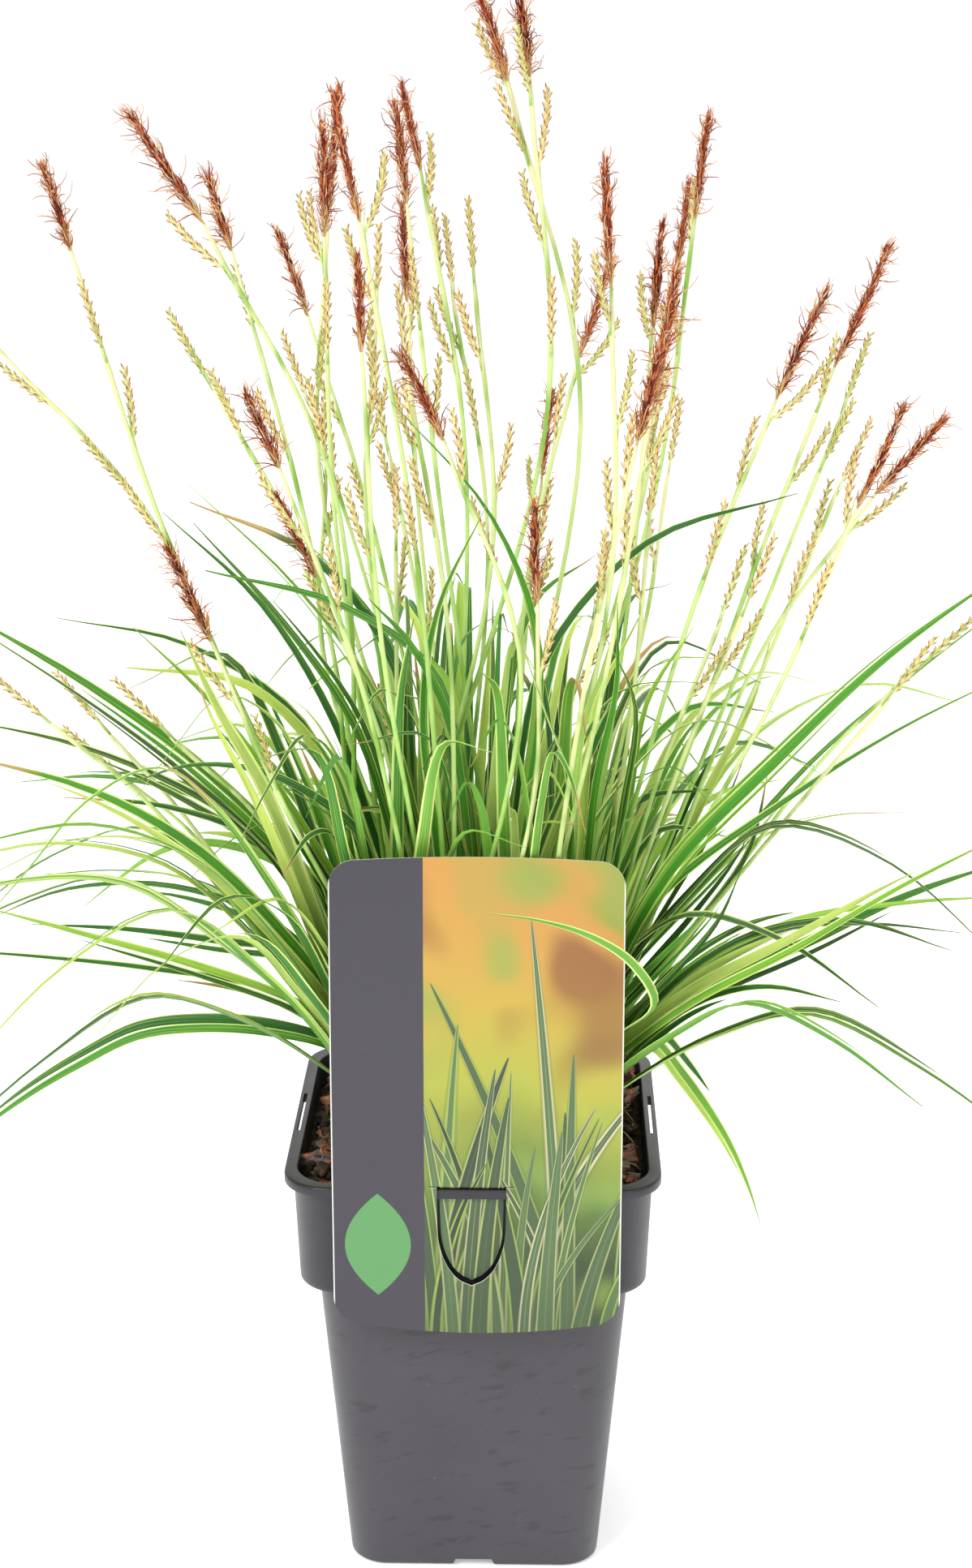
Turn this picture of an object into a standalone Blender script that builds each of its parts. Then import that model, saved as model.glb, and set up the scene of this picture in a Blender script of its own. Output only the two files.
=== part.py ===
"""A clump of carex sedge in flower, in its square nursery pot, with its label on the rim.

Units are metres and +Z is up. The origin is the middle of the pot's underside. The front, where
the label hangs, faces -Y. Leaves and flowering stems that show in the front view are given by
where they are seen in the plane Y = 0, and are then slid along the line of sight to their depth.
"""
import math
import random

import bmesh
import bpy
from mathutils import Matrix, Vector, noise
from mathutils.bvhtree import BVHTree

MM = 0.001
GAP = 0.3 * MM
UP = Vector((0, 0, 1))

# Pot: half widths are measured from the axis to a flat side.
POT_HEIGHT = 134 * MM
RIM_HALF = 55 * MM
RIM_HEIGHT = 3 * MM
RIM_EDGE = 0.6 * MM
WALL = 1.2 * MM
COLLAR_TOP_HALF = 52.5 * MM
COLLAR_FOOT_HALF = 51.2 * MM
COLLAR_HEIGHT = 35 * MM
STEP_HEIGHT = 1.6 * MM
BODY_TOP_HALF = 46.2 * MM
BODY_FOOT_HALF = 38 * MM
FOOT_EDGE = 1.5 * MM
FLOOR = 1.6 * MM
CORNER_RADIUS = 14 * MM
FOOT_CORNER_RADIUS = 11 * MM
CORNER_STEPS = 4
DRAIN_WIDTH = 13 * MM
DRAIN_HEIGHT = 2.4 * MM
DRAIN_DEPTH = 9 * MM
DRAIN_SLOPE = 1 * MM
SLOT_LENGTH = 28 * MM
SLOT_WIDTH = 1.1 * MM
RAIL_WIDTH = 1.1 * MM

# Soil: it fills the pot to just under the rim, and rises a little round the crown.
SOIL_EDGE_Z = 125.5 * MM
SOIL_CROWN_Z = 129 * MM
SOIL_RING_HALVES = tuple(half * MM for half in (47, 41, 33, 24, 13))
SOIL_CORNER_SHARE = 0.4
SOIL_RELIEF = 1.3 * MM
SOIL_NOISE_SCALE = 95
HOLE_DEPTH = 16 * MM
CHIP_NARROWING = 0.45
CHIP_ROUGHNESS = 0.3 * MM

# Routes are Catmull-Rom curves, measured in this many steps between two of their points.
CURVE_STEPS = 8

# Crown: leaf tufts and flowering stems stand on a spiral of spots, turn about.
SPOT_COUNT = 22
SPOT_SPREAD = 8.1 * MM
GOLDEN_ANGLE = math.radians(137.5)
TUFT_RADIUS = 6.0 * MM
STEM_RADIUS = 3.5 * MM
ROOT_SIDES = 6
ROOT_TOP = 7 * MM
ROOT_TAPER = 0.85
ROOT_FILL = 0.72
FOOT_Z = SOIL_EDGE_Z - HOLE_DEPTH / 2
NECK_Z = SOIL_CROWN_Z + ROOT_TOP + 3 * MM

# Leaves are three-sided blades: a flat upper face over a keel. Spreads are standard deviations.
LEAF_STEPS = 6
SHARP_TURN = math.radians(100)
SHARP_STEPS = 4
LEAF_ROOT_SHARE = 0.28
LEAF_SWELL = 2.4
LEAF_TIP_WIDTH = 0.7 * MM
LEAF_TAPER_FROM = 0.45
LEAF_TAPER_POWER = 2.0
LEAF_TO_EYE = 0.9
LEAF_FACING_OUT = 0.6
LEAF_FACING_SPREAD = 0.5
LEAF_TWIST_SPREAD = 0.5
LEAF_TWIST_START = 0.3
LEAF_ROOT_SPREAD = 0.8
LEAF_KEEL_SHARE = 0.2
LEAF_MIN_KEEL = 0.65 * MM
LEAVES_PER_TUFT = 12
LEAF_SEED = 11
SEEN_AIM = 0.55
NEAREST_TUFTS = 4
EMPTIEST_TUFTS = 5

# Flowering stems, with one male spike at the tip and female spikes below it.
STEM_STEPS = 6
STEM_FOOT_SIZE = 1.1 * MM
STEM_TOP_SIZE = 0.8 * MM
STEM_FOOT_SHARE = 0.45
STEM_AIM = 0.32
FEMALE_LENGTH = 20 * MM
FEMALE_RADIUS = 1.9 * MM
FEMALE_SCALES = 3
FEMALE_LEAN = math.radians(20)
FEMALE_NECK = 2.6 * MM
FEMALE_NECK_SIZE = 0.45 * MM
FEMALE_TURN = 2.2
MALE_RADIUS = 2.3 * MM
MALE_SCALES = 4
MALE_GAP = 0.4 * MM
SPIKE_BELLY = (0.12, 0.92)
SPIKE_BELLY_POWER = 0.6
SPIKE_WAIST = 0.62
SIDE_HINT = Vector((0.3, 1, 0.2))

# Placing: how many depths or shapes a piece tries, and the steps of depth and of turn between them.
PLACE_TRIES = 150
FILL_TRIES = 450
STEM_DEPTH_STEP = 1.5
STEM_TURN_STEP = 0.4
LEAF_DEPTH_STEP = 1.0

# Label: a thin card, hooked on the rim by a tongue that passes through the front slot.
LABEL_LEFT = -40 * MM
LABEL_RIGHT = 43 * MM
LABEL_FOOT = 89 * MM
LABEL_TOP = 233 * MM
LABEL_CORNER = 7 * MM
LABEL_THICKNESS = 0.5 * MM
LABEL_LEAN = 5 * MM
LABEL_BENDS = 5
LABEL_FOOT_ARCH = 4 * MM
LABEL_TOP_ARCH = 1.5 * MM
LABEL_ARCH_STEPS = 8
LABEL_Y = -(RIM_HALF + GAP + LABEL_THICKNESS / 2 + 0.05 * MM)
MERGE = 0.01 * MM
TONGUE_HALF = 10 * MM
TONGUE_TOP = POT_HEIGHT + 1.4 * MM
TONGUE_EDGE = (
    (10 * MM, 129 * MM),
    (9.5 * MM, 118 * MM),
    (7.2 * MM, 110.5 * MM),
    (3.8 * MM, 106 * MM),
    (0, 104 * MM),
)
TONGUE_TIP_HALF = 0.5 * MM
TONGUE_GAP = 0.8 * MM
SLIT_HALF = 12.3 * MM
SLIT_HEIGHT = 0.5 * MM

# The eye of the front view, which a seen place is slid towards or away from.
EYE = Vector((18.8, -759.5, 465.3)) * MM

# Bark chips: middle x and y, turn in degrees, length, width, thickness, in mm.
CHIPS = (
    (-41, -34, 62, 17, 9, 3.2),
    (-43, -14, 100, 14, 8, 2.6),
    (44, -27, 80, 18, 8, 3.0),
    (42, 30, 120, 15, 9, 2.8),
)

# Flowering stems: male spike's tip x and z, its foot x and z, depth, then the distances of the
# female spikes below that foot, all in mm as seen in the plane Y = 0.
STEMS = (
    (-1, 468, 9, 440, 25, (3, 22, 68)),
    (11, 470, 15, 441, -5, (6, 25, 47, 75)),
    (-120, 417, -113, 394, -25, (30, 56, 86)),
    (-95, 431, -76, 402, -40, (15, 70)),
    (-74, 414, -68, 394, 30, (26, 62)),
    (-42, 429, -42, 398, 5, (9, 34)),
    (-37, 438, -41, 403, 50, (14, 54)),
    (-39, 437, -32, 402, -35, (4, 23, 90)),
    (-20, 439, -15, 416, 60, (11, 33, 60)),
    (-22, 434, -19, 407, 20, (34, 66)),
    (-20, 407, -19, 380, 105, (13, 48)),
    (-55, 399, -47, 376, 80, (38, 70)),
    (-33, 392, -32, 366, -80, (22, 56)),
    (36, 419, 38, 385, -45, (12, 40, 70)),
    (64, 431, 61, 403, 30, (10, 38)),
    (59, 413, 56, 388, 75, (32, 60)),
    (52, 402, 50, 373, -10, (5, 32)),
    (56, 389, 50, 351, -65, (18, 46)),
    (37, 391, 29, 364, 40, (6, 28)),
    (52, 367, 46, 341, -90, (16, 44)),
    (98, 383, 85, 353, -30, (7, 29, 52)),
    (115, 396, 101, 362, 25, (12, 38, 66)),
    (121, 351, 109, 322, -45, (8, 37)),
    (132, 347, 114, 326, 10, (14, 42)),
    (-21, 365, -9, 341, -95, (14, 40)),
    (-65, 354, -56, 333, -70, (22, 44)),
    (-89, 310, -77, 282, -50, (20, 44)),
    (-57, 325, -46, 301, -30, (18,)),
    (17, 323, 18, 294, -105, (21,)),
    (22, 355, 19, 330, 95, (14, 42)),
    (-157, 386, -136, 368, 5, (26, 58)),
)

# Leaves that show in the front view: depth of the tip, depth where it leaves the clump, width,
# then the route from the tip inwards, in mm as seen in the plane Y = 0.
SEEN_LEAVES = (
    (-30, -34, 5.5, ((-166, 112), (-146, 134), (-108, 158), (-85, 163), (-45, 157))),
    (-20, -28, 4.5, ((-166, 186), (-143, 184), (-87, 177), (-52, 167))),
    (-45, -34, 5.0, ((-150, 200), (-124, 192), (-87, 181), (-50, 166))),
    (5, -10, 4.5, ((-134, 194), (-106, 192), (-78, 188), (-44, 179))),
    (35, 10, 5.0, ((-150, 194), (-129, 203), (-102, 206), (-77, 201), (-55, 188))),
    (-50, -22, 5.5, ((-152, 292), (-121, 273), (-85, 247), (-67, 226), (-45, 200))),
    (-20, -10, 4.5, ((-152, 290), (-116, 265), (-99, 249), (-60, 218))),
    (25, 5, 5.0, ((-152, 258), (-122, 251), (-104, 243), (-77, 230), (-49, 207))),
    (10, 5, 4.5, ((-122, 289), (-102, 286), (-84, 282), (-58, 266), (-42, 240))),
    (-60, -25, 6.5, ((-101, 287), (-91, 279), (-80, 264), (-67, 249), (-54, 226))),
    (-35, -10, 4.0, ((-102, 274), (-93, 277), (-75, 273), (-52, 258), (-38, 232))),
    (45, 15, 4.5, ((-136, 239), (-122, 241), (-104, 241), (-80, 235), (-55, 214))),
    (-5, -5, 4.5, ((-123, 234), (-104, 233), (-86, 229), (-64, 220), (-46, 200))),
    (-62, -32, 5.5, ((-152, 247), (-113, 235), (-95, 226), (-77, 211), (-59, 191), (-44, 178))),
    (60, 20, 5.0, ((-118, 200), (-100, 215), (-84, 222), (-58, 216), (-42, 196))),
    (-55, -30, 5.0, ((-104, 238), (-92, 243), (-72, 244), (-53, 238), (-42, 228), (-31, 212))),
    (-70, -28, 5.5, ((-86, 285), (-80, 269), (-69, 245), (-56, 218))),
    (20, 5, 5.0, ((-90, 320), (-82, 311), (-66, 296), (-46, 268))),
    (-35, -15, 6.5, ((-82, 328), (-74, 321), (-61, 307), (-48, 293), (-35, 275), (-25, 252))),
    (-60, -25, 5.5, ((-81, 317), (-70, 305), (-57, 290), (-44, 273), (-33, 252))),
    (40, 10, 3.5, ((-82, 323), (-65, 317), (-52, 311), (-37, 297), (-22, 270))),
    (-80, -25, 3.5, ((-78, 303), (-57, 299), (-39, 293), (-24, 283), (-8, 262))),
    (-85, -30, 5.0, ((-31, 295), (-25, 288), (-16, 277), (-7, 258))),
    (-60, -20, 5.0, ((-24, 352), (-12, 341), (-2, 329), (8, 313), (14, 298), (18, 276))),
    (-75, -30, 4.5, ((3, 322), (-7, 303), (-13, 282), (-15, 255))),
    (-85, -35, 6.7, ((12, 285), (17, 269), (24, 250), (28, 227))),
    (-75, -32, 5.5, ((41, 294), (42, 278), (39, 255), (34, 227))),
    (-55, -25, 5.0, ((37, 285), (43, 275), (46, 261), (42, 230))),
    (-50, -15, 5.0, ((92, 326), (74, 322), (61, 316), (47, 309), (30, 288), (15, 256))),
    (-30, -10, 5.0, ((63, 287), (57, 285), (52, 277), (49, 262), (44, 232))),
    (55, 20, 5.5, ((86, 286), (84, 276), (79, 264), (68, 242))),
    (-55, -28, 6.5, ((158, 308), (129, 287), (103, 261), (85, 243), (67, 222), (45, 193))),
    (-25, -15, 5.5, ((160, 276), (130, 261), (96, 239), (67, 218), (44, 192))),
    (30, 10, 5.5, ((160, 300), (128, 273), (94, 240), (68, 207), (51, 190))),
    (-60, -30, 6.0, ((143, 188), (131, 192), (110, 199), (91, 197), (77, 191), (50, 169))),
    (-20, -20, 4.5, ((160, 205), (123, 201), (105, 197), (87, 192), (52, 168))),
    (-70, -36, 5.5, ((160, 227), (132, 213), (105, 196), (87, 186), (68, 175), (52, 164))),
    (20, 0, 5.0, ((160, 217), (134, 207), (106, 192), (80, 180), (56, 167))),
    (-65, -38, 4.5, ((110, 171), (92, 175), (78, 173), (58, 164))),
    (-45, -32, 6.0, ((88, 98), (82, 117), (75, 131), (64, 148), (50, 160))),
    (-84, -54, 4.5, ((2, 199), (17, 197), (31, 193), (43, 187), (51, 177), (50, 166))),
    (-60, -25, 5.0, ((80, 252), (74, 236), (66, 220), (52, 196))),
    (15, 5, 5.0, ((86, 245), (84, 231), (76, 212), (58, 188))),
    (-62, -35, 7.0, ((79, 214), (75, 204), (63, 188), (46, 170))),
)

SEEN_WIDTH_SCALE = 1.15
SEEN_ROOT_NUDGE = 0.5

# Leaves that fill the clump by rule: how many, then their ranges of reach, height and width in mm.
FILLS = (
    (96, (30, 150), (110, 205), (5.0, 7.4)),
    (60, (8, 60), (120, 190), (3.6, 5.0)),
)
FILL_LONGEST = 150 * MM
FILL_HEADING_SPREAD = 0.75
FILL_LOWERING = 0.35
FILL_DROOP = 0.45
FILL_ARCH = ((0.22, 0.55), (0.58, 0.95))

COLOURS = {
    "pot_black": ((0.022, 0.023, 0.025, 1), 0.42),
    "soil_peat": ((0.045, 0.028, 0.018, 1), 0.95),
    "bark_brown": ((0.16, 0.07, 0.035, 1), 0.85),
    "label_card": ((0.75, 0.6, 0.25, 1), 0.35),
    "leaf_green": ((0.09, 0.22, 0.07, 1), 0.5),
    "stem_lime": ((0.45, 0.52, 0.16, 1), 0.5),
    "spike_brown": ((0.2, 0.07, 0.03, 1), 0.75),
}


def clear_scene():
    """Remove the objects that the file opens with."""
    for thing in list(bpy.data.objects):
        bpy.data.objects.remove(thing)


def make_material(name):
    """A Principled material in one of the named colours."""
    colour, roughness = COLOURS[name]
    material = bpy.data.materials.new(name)
    material.use_nodes = True
    shader = material.node_tree.nodes["Principled BSDF"]
    shader.inputs["Base Color"].default_value = colour
    shader.inputs["Roughness"].default_value = roughness
    shader.inputs["Metallic"].default_value = 0.0
    material.diffuse_color = colour
    return material


def new_object(name, bm, collection, material=None):
    """Turn a bmesh into a named object in a collection, with its faces pointing out."""
    bmesh.ops.recalc_face_normals(bm, faces=bm.faces[:])
    mesh = bpy.data.meshes.new(name)
    bm.to_mesh(mesh)
    bm.free()
    thing = bpy.data.objects.new(name, mesh)
    collection.objects.link(thing)
    if material is not None:
        mesh.materials.append(material)
    return thing


def loft(bm, rings):
    """Skin rings of equal length with triangles that all split the same way, and cap both ends."""
    loops = [[bm.verts.new(point) for point in ring] for ring in rings]
    for low, high in zip(loops, loops[1:]):
        for index in range(len(low)):
            after = (index + 1) % len(low)
            bm.faces.new((low[index], low[after], high[index]))
            bm.faces.new((low[after], high[after], high[index]))
    bm.faces.new(list(reversed(loops[0])))
    bm.faces.new(loops[-1])


def rounded_square(half, radius, z):
    """Points of a square with rounded corners, counter-clockwise, at one height."""
    points = []
    for quarter in range(4):
        start = quarter * math.pi / 2
        middle = Vector((half - radius, half - radius, 0))
        middle.rotate(Matrix.Rotation(start, 3, "Z"))
        for step in range(CORNER_STEPS + 1):
            angle = start + step * math.pi / 2 / CORNER_STEPS
            points.append(Vector((middle.x + radius * math.cos(angle),
                                  middle.y + radius * math.sin(angle), z)))
    return points


def add_box(name, low, high, collection):
    """A box between two corners, for cutting."""
    bm = bmesh.new()
    size = Vector(high) - Vector(low)
    middle = (Vector(high) + Vector(low)) / 2
    bmesh.ops.create_cube(bm, size=1, matrix=Matrix.Translation(middle) @ Matrix.Diagonal(size).to_4x4())
    return new_object(name, bm, collection)


def bake(thing):
    """Replace an object's mesh with its evaluated one, and drop its modifiers."""
    graph = bpy.context.evaluated_depsgraph_get()
    mesh = bpy.data.meshes.new_from_object(thing.evaluated_get(graph))
    thing.modifiers.clear()
    thing.data = mesh


def combine(thing, pieces, operation):
    """One Boolean of the object with a collection of pieces, which is then removed."""
    group = bpy.data.collections.new(thing.name + "_pieces")
    bpy.context.scene.collection.children.link(group)
    for piece in pieces:
        for owner in list(piece.users_collection):
            owner.objects.unlink(piece)
        group.objects.link(piece)
        piece.hide_render = True
        piece.display_type = "WIRE"
    modifier = thing.modifiers.new(operation.title(), "BOOLEAN")
    modifier.operation = operation
    modifier.operand_type = "COLLECTION"
    modifier.collection = group
    modifier.solver = "MANIFOLD"
    bake(thing)
    for piece in pieces:
        bpy.data.objects.remove(piece)
    bpy.data.collections.remove(group)
    keep_body(thing)


def signed_volume(faces):
    """Volume inside a closed set of faces, negative where they bound a hollow."""
    total = 0.0
    for face in faces:
        first = face.verts[0].co
        for one, two in zip(face.verts[1:], face.verts[2:]):
            total += first.dot(one.co.cross(two.co)) / 6
    return total


def keep_body(thing):
    """Keep the largest body of a mesh: fill sealed hollows and drop loose scraps."""
    bm = bmesh.new()
    bm.from_mesh(thing.data)
    left = set(bm.faces)
    islands = []
    while left:
        island = []
        front = [left.pop()]
        while front:
            face = front.pop()
            island.append(face)
            for edge in face.edges:
                for other in edge.link_faces:
                    if other in left:
                        left.discard(other)
                        front.append(other)
        islands.append(island)
    islands.sort(key=signed_volume)
    for island in islands[:-1]:
        bmesh.ops.delete(bm, geom=island, context="FACES")
    bm.to_mesh(thing.data)
    bm.free()


def pot_rings():
    """Rings of the pot's skin, from the underside up the outside and down the inside."""
    collar_z = POT_HEIGHT - COLLAR_HEIGHT
    lip_z = POT_HEIGHT - RIM_HEIGHT
    step_z = collar_z - STEP_HEIGHT
    outside = (
        (BODY_FOOT_HALF - FOOT_EDGE, FOOT_CORNER_RADIUS - FOOT_EDGE, 0),
        (BODY_FOOT_HALF, FOOT_CORNER_RADIUS, FOOT_EDGE),
        (BODY_TOP_HALF, CORNER_RADIUS, step_z),
        (COLLAR_FOOT_HALF, CORNER_RADIUS, collar_z),
        (COLLAR_TOP_HALF, CORNER_RADIUS, lip_z),
        (RIM_HALF, CORNER_RADIUS, lip_z),
        (RIM_HALF, CORNER_RADIUS, POT_HEIGHT - RIM_EDGE),
        (RIM_HALF - RIM_EDGE, CORNER_RADIUS, POT_HEIGHT),
    )
    inside = [(COLLAR_TOP_HALF - WALL, CORNER_RADIUS - WALL, POT_HEIGHT)] + inner_stations(0)
    return [rounded_square(*station) for station in outside + tuple(inside)]


def inner_stations(inset):
    """Half width, corner radius and height down the pot's inside, or inset from it."""
    collar_z = POT_HEIGHT - COLLAR_HEIGHT
    step_z = collar_z - STEP_HEIGHT
    radius = CORNER_RADIUS - WALL
    return [
        (COLLAR_FOOT_HALF - WALL - inset, radius, collar_z + WALL + inset),
        (BODY_TOP_HALF - WALL - inset, radius, step_z + WALL + inset),
        (BODY_FOOT_HALF - WALL - inset, FOOT_CORNER_RADIUS - WALL, FLOOR + inset),
    ]


def build_pot(collection, material):
    """The pot: a tapering shell with a collar, a slotted lip and drain notches at its foot."""
    bm = bmesh.new()
    loft(bm, pot_rings())
    pot = new_object("pot", bm, collection, material)
    cutters = []
    slot_out = RIM_HALF - RAIL_WIDTH
    for side in range(4):
        turn = Matrix.Rotation(side * math.pi / 2, 4, "Z")
        slot = add_box("slot", (-SLOT_LENGTH / 2, -slot_out, POT_HEIGHT - 2 * RIM_HEIGHT),
                       (SLOT_LENGTH / 2, -slot_out + SLOT_WIDTH, POT_HEIGHT + RIM_HEIGHT), collection)
        slot.data.transform(turn)
        drain = add_box("drain", (-DRAIN_WIDTH / 2, -RIM_HALF, -DRAIN_HEIGHT),
                        (DRAIN_WIDTH / 2, DRAIN_DEPTH - BODY_FOOT_HALF, DRAIN_HEIGHT), collection)
        for vert in drain.data.vertices:
            vert.co.x -= math.copysign(DRAIN_SLOPE, vert.co.x * vert.co.z)
        drain.data.transform(turn)
        cutters += [slot, drain]
    combine(pot, cutters, "DIFFERENCE")
    return pot


def soil_height(x, y):
    """Height of the soil's top: a low mound with rough relief."""
    away = min(1.0, math.hypot(x, y) / SOIL_RING_HALVES[0])
    mound = SOIL_CROWN_Z + (SOIL_EDGE_Z - SOIL_CROWN_Z) * away
    return mound + SOIL_RELIEF * noise.noise(Vector((x, y, 0)) * SOIL_NOISE_SCALE)


def root_spots():
    """Middles of the roots, on a spiral from the crown's middle outwards."""
    spots = []
    for index in range(SPOT_COUNT):
        reach = SPOT_SPREAD * math.sqrt(index + 0.5)
        angle = index * GOLDEN_ANGLE
        spots.append(Vector((reach * math.cos(angle), reach * math.sin(angle), 0)))
    return spots


def root_prism(name, spot, radius, top_radius, low, high, collection):
    """A six-sided post at a root spot, a little narrower at its top."""
    bm = bmesh.new()
    place = Matrix.Translation((spot.x, spot.y, (low + high) / 2))
    bmesh.ops.create_cone(bm, cap_ends=True, segments=ROOT_SIDES, radius1=radius, radius2=top_radius,
                          depth=high - low, matrix=place)
    return new_object(name, bm, collection)


def build_soil(collection, material):
    """The soil: the pot's inside less a gap, with a rough top and a plain hole for each root."""
    rings = [rounded_square(*station) for station in reversed(inner_stations(GAP))]
    top_half = COLLAR_TOP_HALF - WALL - 2 * GAP
    rings.append(rounded_square(top_half, CORNER_RADIUS - WALL, SOIL_EDGE_Z - SOIL_RELIEF))
    for half in SOIL_RING_HALVES:
        ring = rounded_square(half, half * SOIL_CORNER_SHARE, 0)
        rings.append([Vector((p.x, p.y, soil_height(p.x, p.y))) for p in ring])
    bm = bmesh.new()
    loft(bm, rings)
    soil = new_object("soil", bm, collection, material)
    holes = []
    for index, spot in enumerate(root_spots()):
        radius = root_radius(index) + 2 * GAP
        holes.append(root_prism("hole", spot, radius, radius, SOIL_EDGE_Z - HOLE_DEPTH, POT_HEIGHT,
                                collection))
    combine(soil, holes, "DIFFERENCE")
    return soil


def root_radius(index):
    """Even spots carry leaf tufts and odd ones flowering stems."""
    return TUFT_RADIUS if index % 2 == 0 else STEM_RADIUS


def build_chips(soil, collection, material):
    """Large bark chips that lie on the soil: bevelled slabs, each set down on the highest point."""
    ground = tree_of(soil.data)
    chips = []
    for index, (x, y, turn, length, width, thickness) in enumerate(CHIPS):
        draw = random.Random(index)
        bm = bmesh.new()
        size = Matrix.Diagonal((length * MM, width * MM, thickness * MM, 1))
        bmesh.ops.create_cube(bm, size=1, matrix=size)
        bmesh.ops.subdivide_edges(bm, edges=bm.edges[:], cuts=1, use_grid_fill=True)
        for vert in bm.verts:
            at_end = abs(vert.co.x) > length * MM / 4
            vert.co.y *= 1 - CHIP_NARROWING * at_end * draw.random()
            vert.co.z += draw.uniform(-CHIP_ROUGHNESS, CHIP_ROUGHNESS)
        bm.transform(Matrix.Translation((x * MM, y * MM, 0)) @ Matrix.Rotation(math.radians(turn), 4, "Z"))
        lift = max(rest_height(ground, vert.co) for vert in bm.verts)
        bm.transform(Matrix.Translation((0, 0, lift + GAP)))
        chips.append(new_object(f"bark_chip_{index + 1}", bm, collection, material))
    return chips


def rest_height(ground, point):
    """How far a point must rise to meet the ground under it."""
    hit = ground.ray_cast(Vector((point.x, point.y, POT_HEIGHT)), Vector((0, 0, -1)))[0]
    return hit.z - point.z if hit else -point.z


def tree_of(mesh):
    """A search tree of a mesh, to test for contact."""
    bm = bmesh.new()
    bm.from_mesh(mesh)
    tree = BVHTree.FromBMesh(bm)
    bm.free()
    return tree


def label_card_y(z):
    """The card hangs straight below the rim and bows back above it."""
    rise = max(0.0, z - POT_HEIGHT) / (LABEL_TOP - POT_HEIGHT)
    return LABEL_Y + LABEL_LEAN * rise * rise


def label_outline():
    """The card's edge in x and z: rounded corners, an arched top and a foot that arches more."""
    middle = (LABEL_RIGHT + LABEL_LEFT) / 2
    reach = (LABEL_RIGHT - LABEL_LEFT) / 2
    points = []
    corners = (
        (LABEL_RIGHT - LABEL_CORNER, LABEL_TOP - LABEL_CORNER),
        (LABEL_LEFT + LABEL_CORNER, LABEL_TOP - LABEL_CORNER),
        (LABEL_LEFT + LABEL_CORNER, LABEL_FOOT + LABEL_CORNER),
        (LABEL_RIGHT - LABEL_CORNER, LABEL_FOOT + LABEL_CORNER),
    )
    for quarter, (x, z) in enumerate(corners):
        for step in range(CORNER_STEPS + 1):
            angle = (quarter + step / CORNER_STEPS) * math.pi / 2
            points.append((x + LABEL_CORNER * math.cos(angle), z + LABEL_CORNER * math.sin(angle)))
        if quarter % 2 == 0:
            start_x, start_z = points[-1]
            leg = (corners[quarter + 1][0] - x) / LABEL_ARCH_STEPS
            points += [(start_x + leg * step, start_z) for step in range(1, LABEL_ARCH_STEPS)]
    arched = []
    for x, z in points:
        arch = -LABEL_TOP_ARCH if z > POT_HEIGHT else LABEL_FOOT_ARCH
        arched.append((x, z + arch * ((x - middle) / reach) ** 2))
    return arched


def opening_outline():
    """The cut in the card in x and z: a slit under the hinge, and the arched edge of the tongue."""
    slit_z = TONGUE_TOP - SLIT_HEIGHT
    right = [(TONGUE_HALF, TONGUE_TOP), (SLIT_HALF, TONGUE_TOP), (SLIT_HALF, slit_z), (TONGUE_HALF, slit_z)]
    right += TONGUE_EDGE
    return right + [(-x, z) for x, z in reversed(right[:-1])]


def tongue_rows():
    """Half width, y and z down the tongue: over the rail, through the slot and down to its point."""
    slot_y = -(RIM_HALF - RAIL_WIDTH - SLOT_WIDTH / 2)
    rail_y = (label_card_y(TONGUE_TOP) + slot_y) / 2
    half = TONGUE_HALF - TONGUE_GAP
    crest = POT_HEIGHT + GAP + LABEL_THICKNESS / 2
    rows = [
        (half, rail_y - RAIL_WIDTH / 2, crest + 0.5 * MM),
        (half, rail_y + RAIL_WIDTH / 2, crest + 0.4 * MM),
        (half, slot_y, POT_HEIGHT - 0.4 * MM),
    ]
    for edge, z in TONGUE_EDGE:
        narrowed = max(edge - TONGUE_GAP, TONGUE_TIP_HALF)
        rows.append((narrowed, slot_y, z + TONGUE_GAP * (1 - edge / TONGUE_HALF)))
    return rows


def build_label(collection, material):
    """The label: a bowed card with an arched opening, whose flap hooks behind the rail."""
    curve = bpy.data.curves.new("label_outline", "CURVE")
    curve.dimensions = "2D"
    curve.fill_mode = "BOTH"
    for outline in (label_outline(), opening_outline()):
        spline = curve.splines.new("POLY")
        spline.points.add(len(outline) - 1)
        for point, (x, z) in zip(spline.points, outline):
            point.co = (x, z, 0, 1)
        spline.use_cyclic_u = True
    flat = bpy.data.objects.new("label_outline", curve)
    collection.objects.link(flat)
    graph = bpy.context.evaluated_depsgraph_get()
    bm = bmesh.new()
    bm.from_mesh(bpy.data.meshes.new_from_object(flat.evaluated_get(graph)))
    bpy.data.objects.remove(flat)
    bmesh.ops.remove_doubles(bm, verts=bm.verts[:], dist=MERGE)
    for cut in range(1, LABEL_BENDS):
        height = POT_HEIGHT + cut * (LABEL_TOP - POT_HEIGHT) / LABEL_BENDS
        bmesh.ops.bisect_plane(bm, geom=bm.verts[:] + bm.edges[:] + bm.faces[:], dist=MERGE,
                               plane_co=(0, height, 0), plane_no=(0, 1, 0))
    for vert in bm.verts:
        vert.co = Vector((vert.co.x, label_card_y(vert.co.y), vert.co.y))
    add_tongue(bm)
    label = new_object("label", bm, collection, material)
    solid = label.modifiers.new("Card", "SOLIDIFY")
    solid.thickness = LABEL_THICKNESS
    solid.offset = 0
    return label


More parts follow.
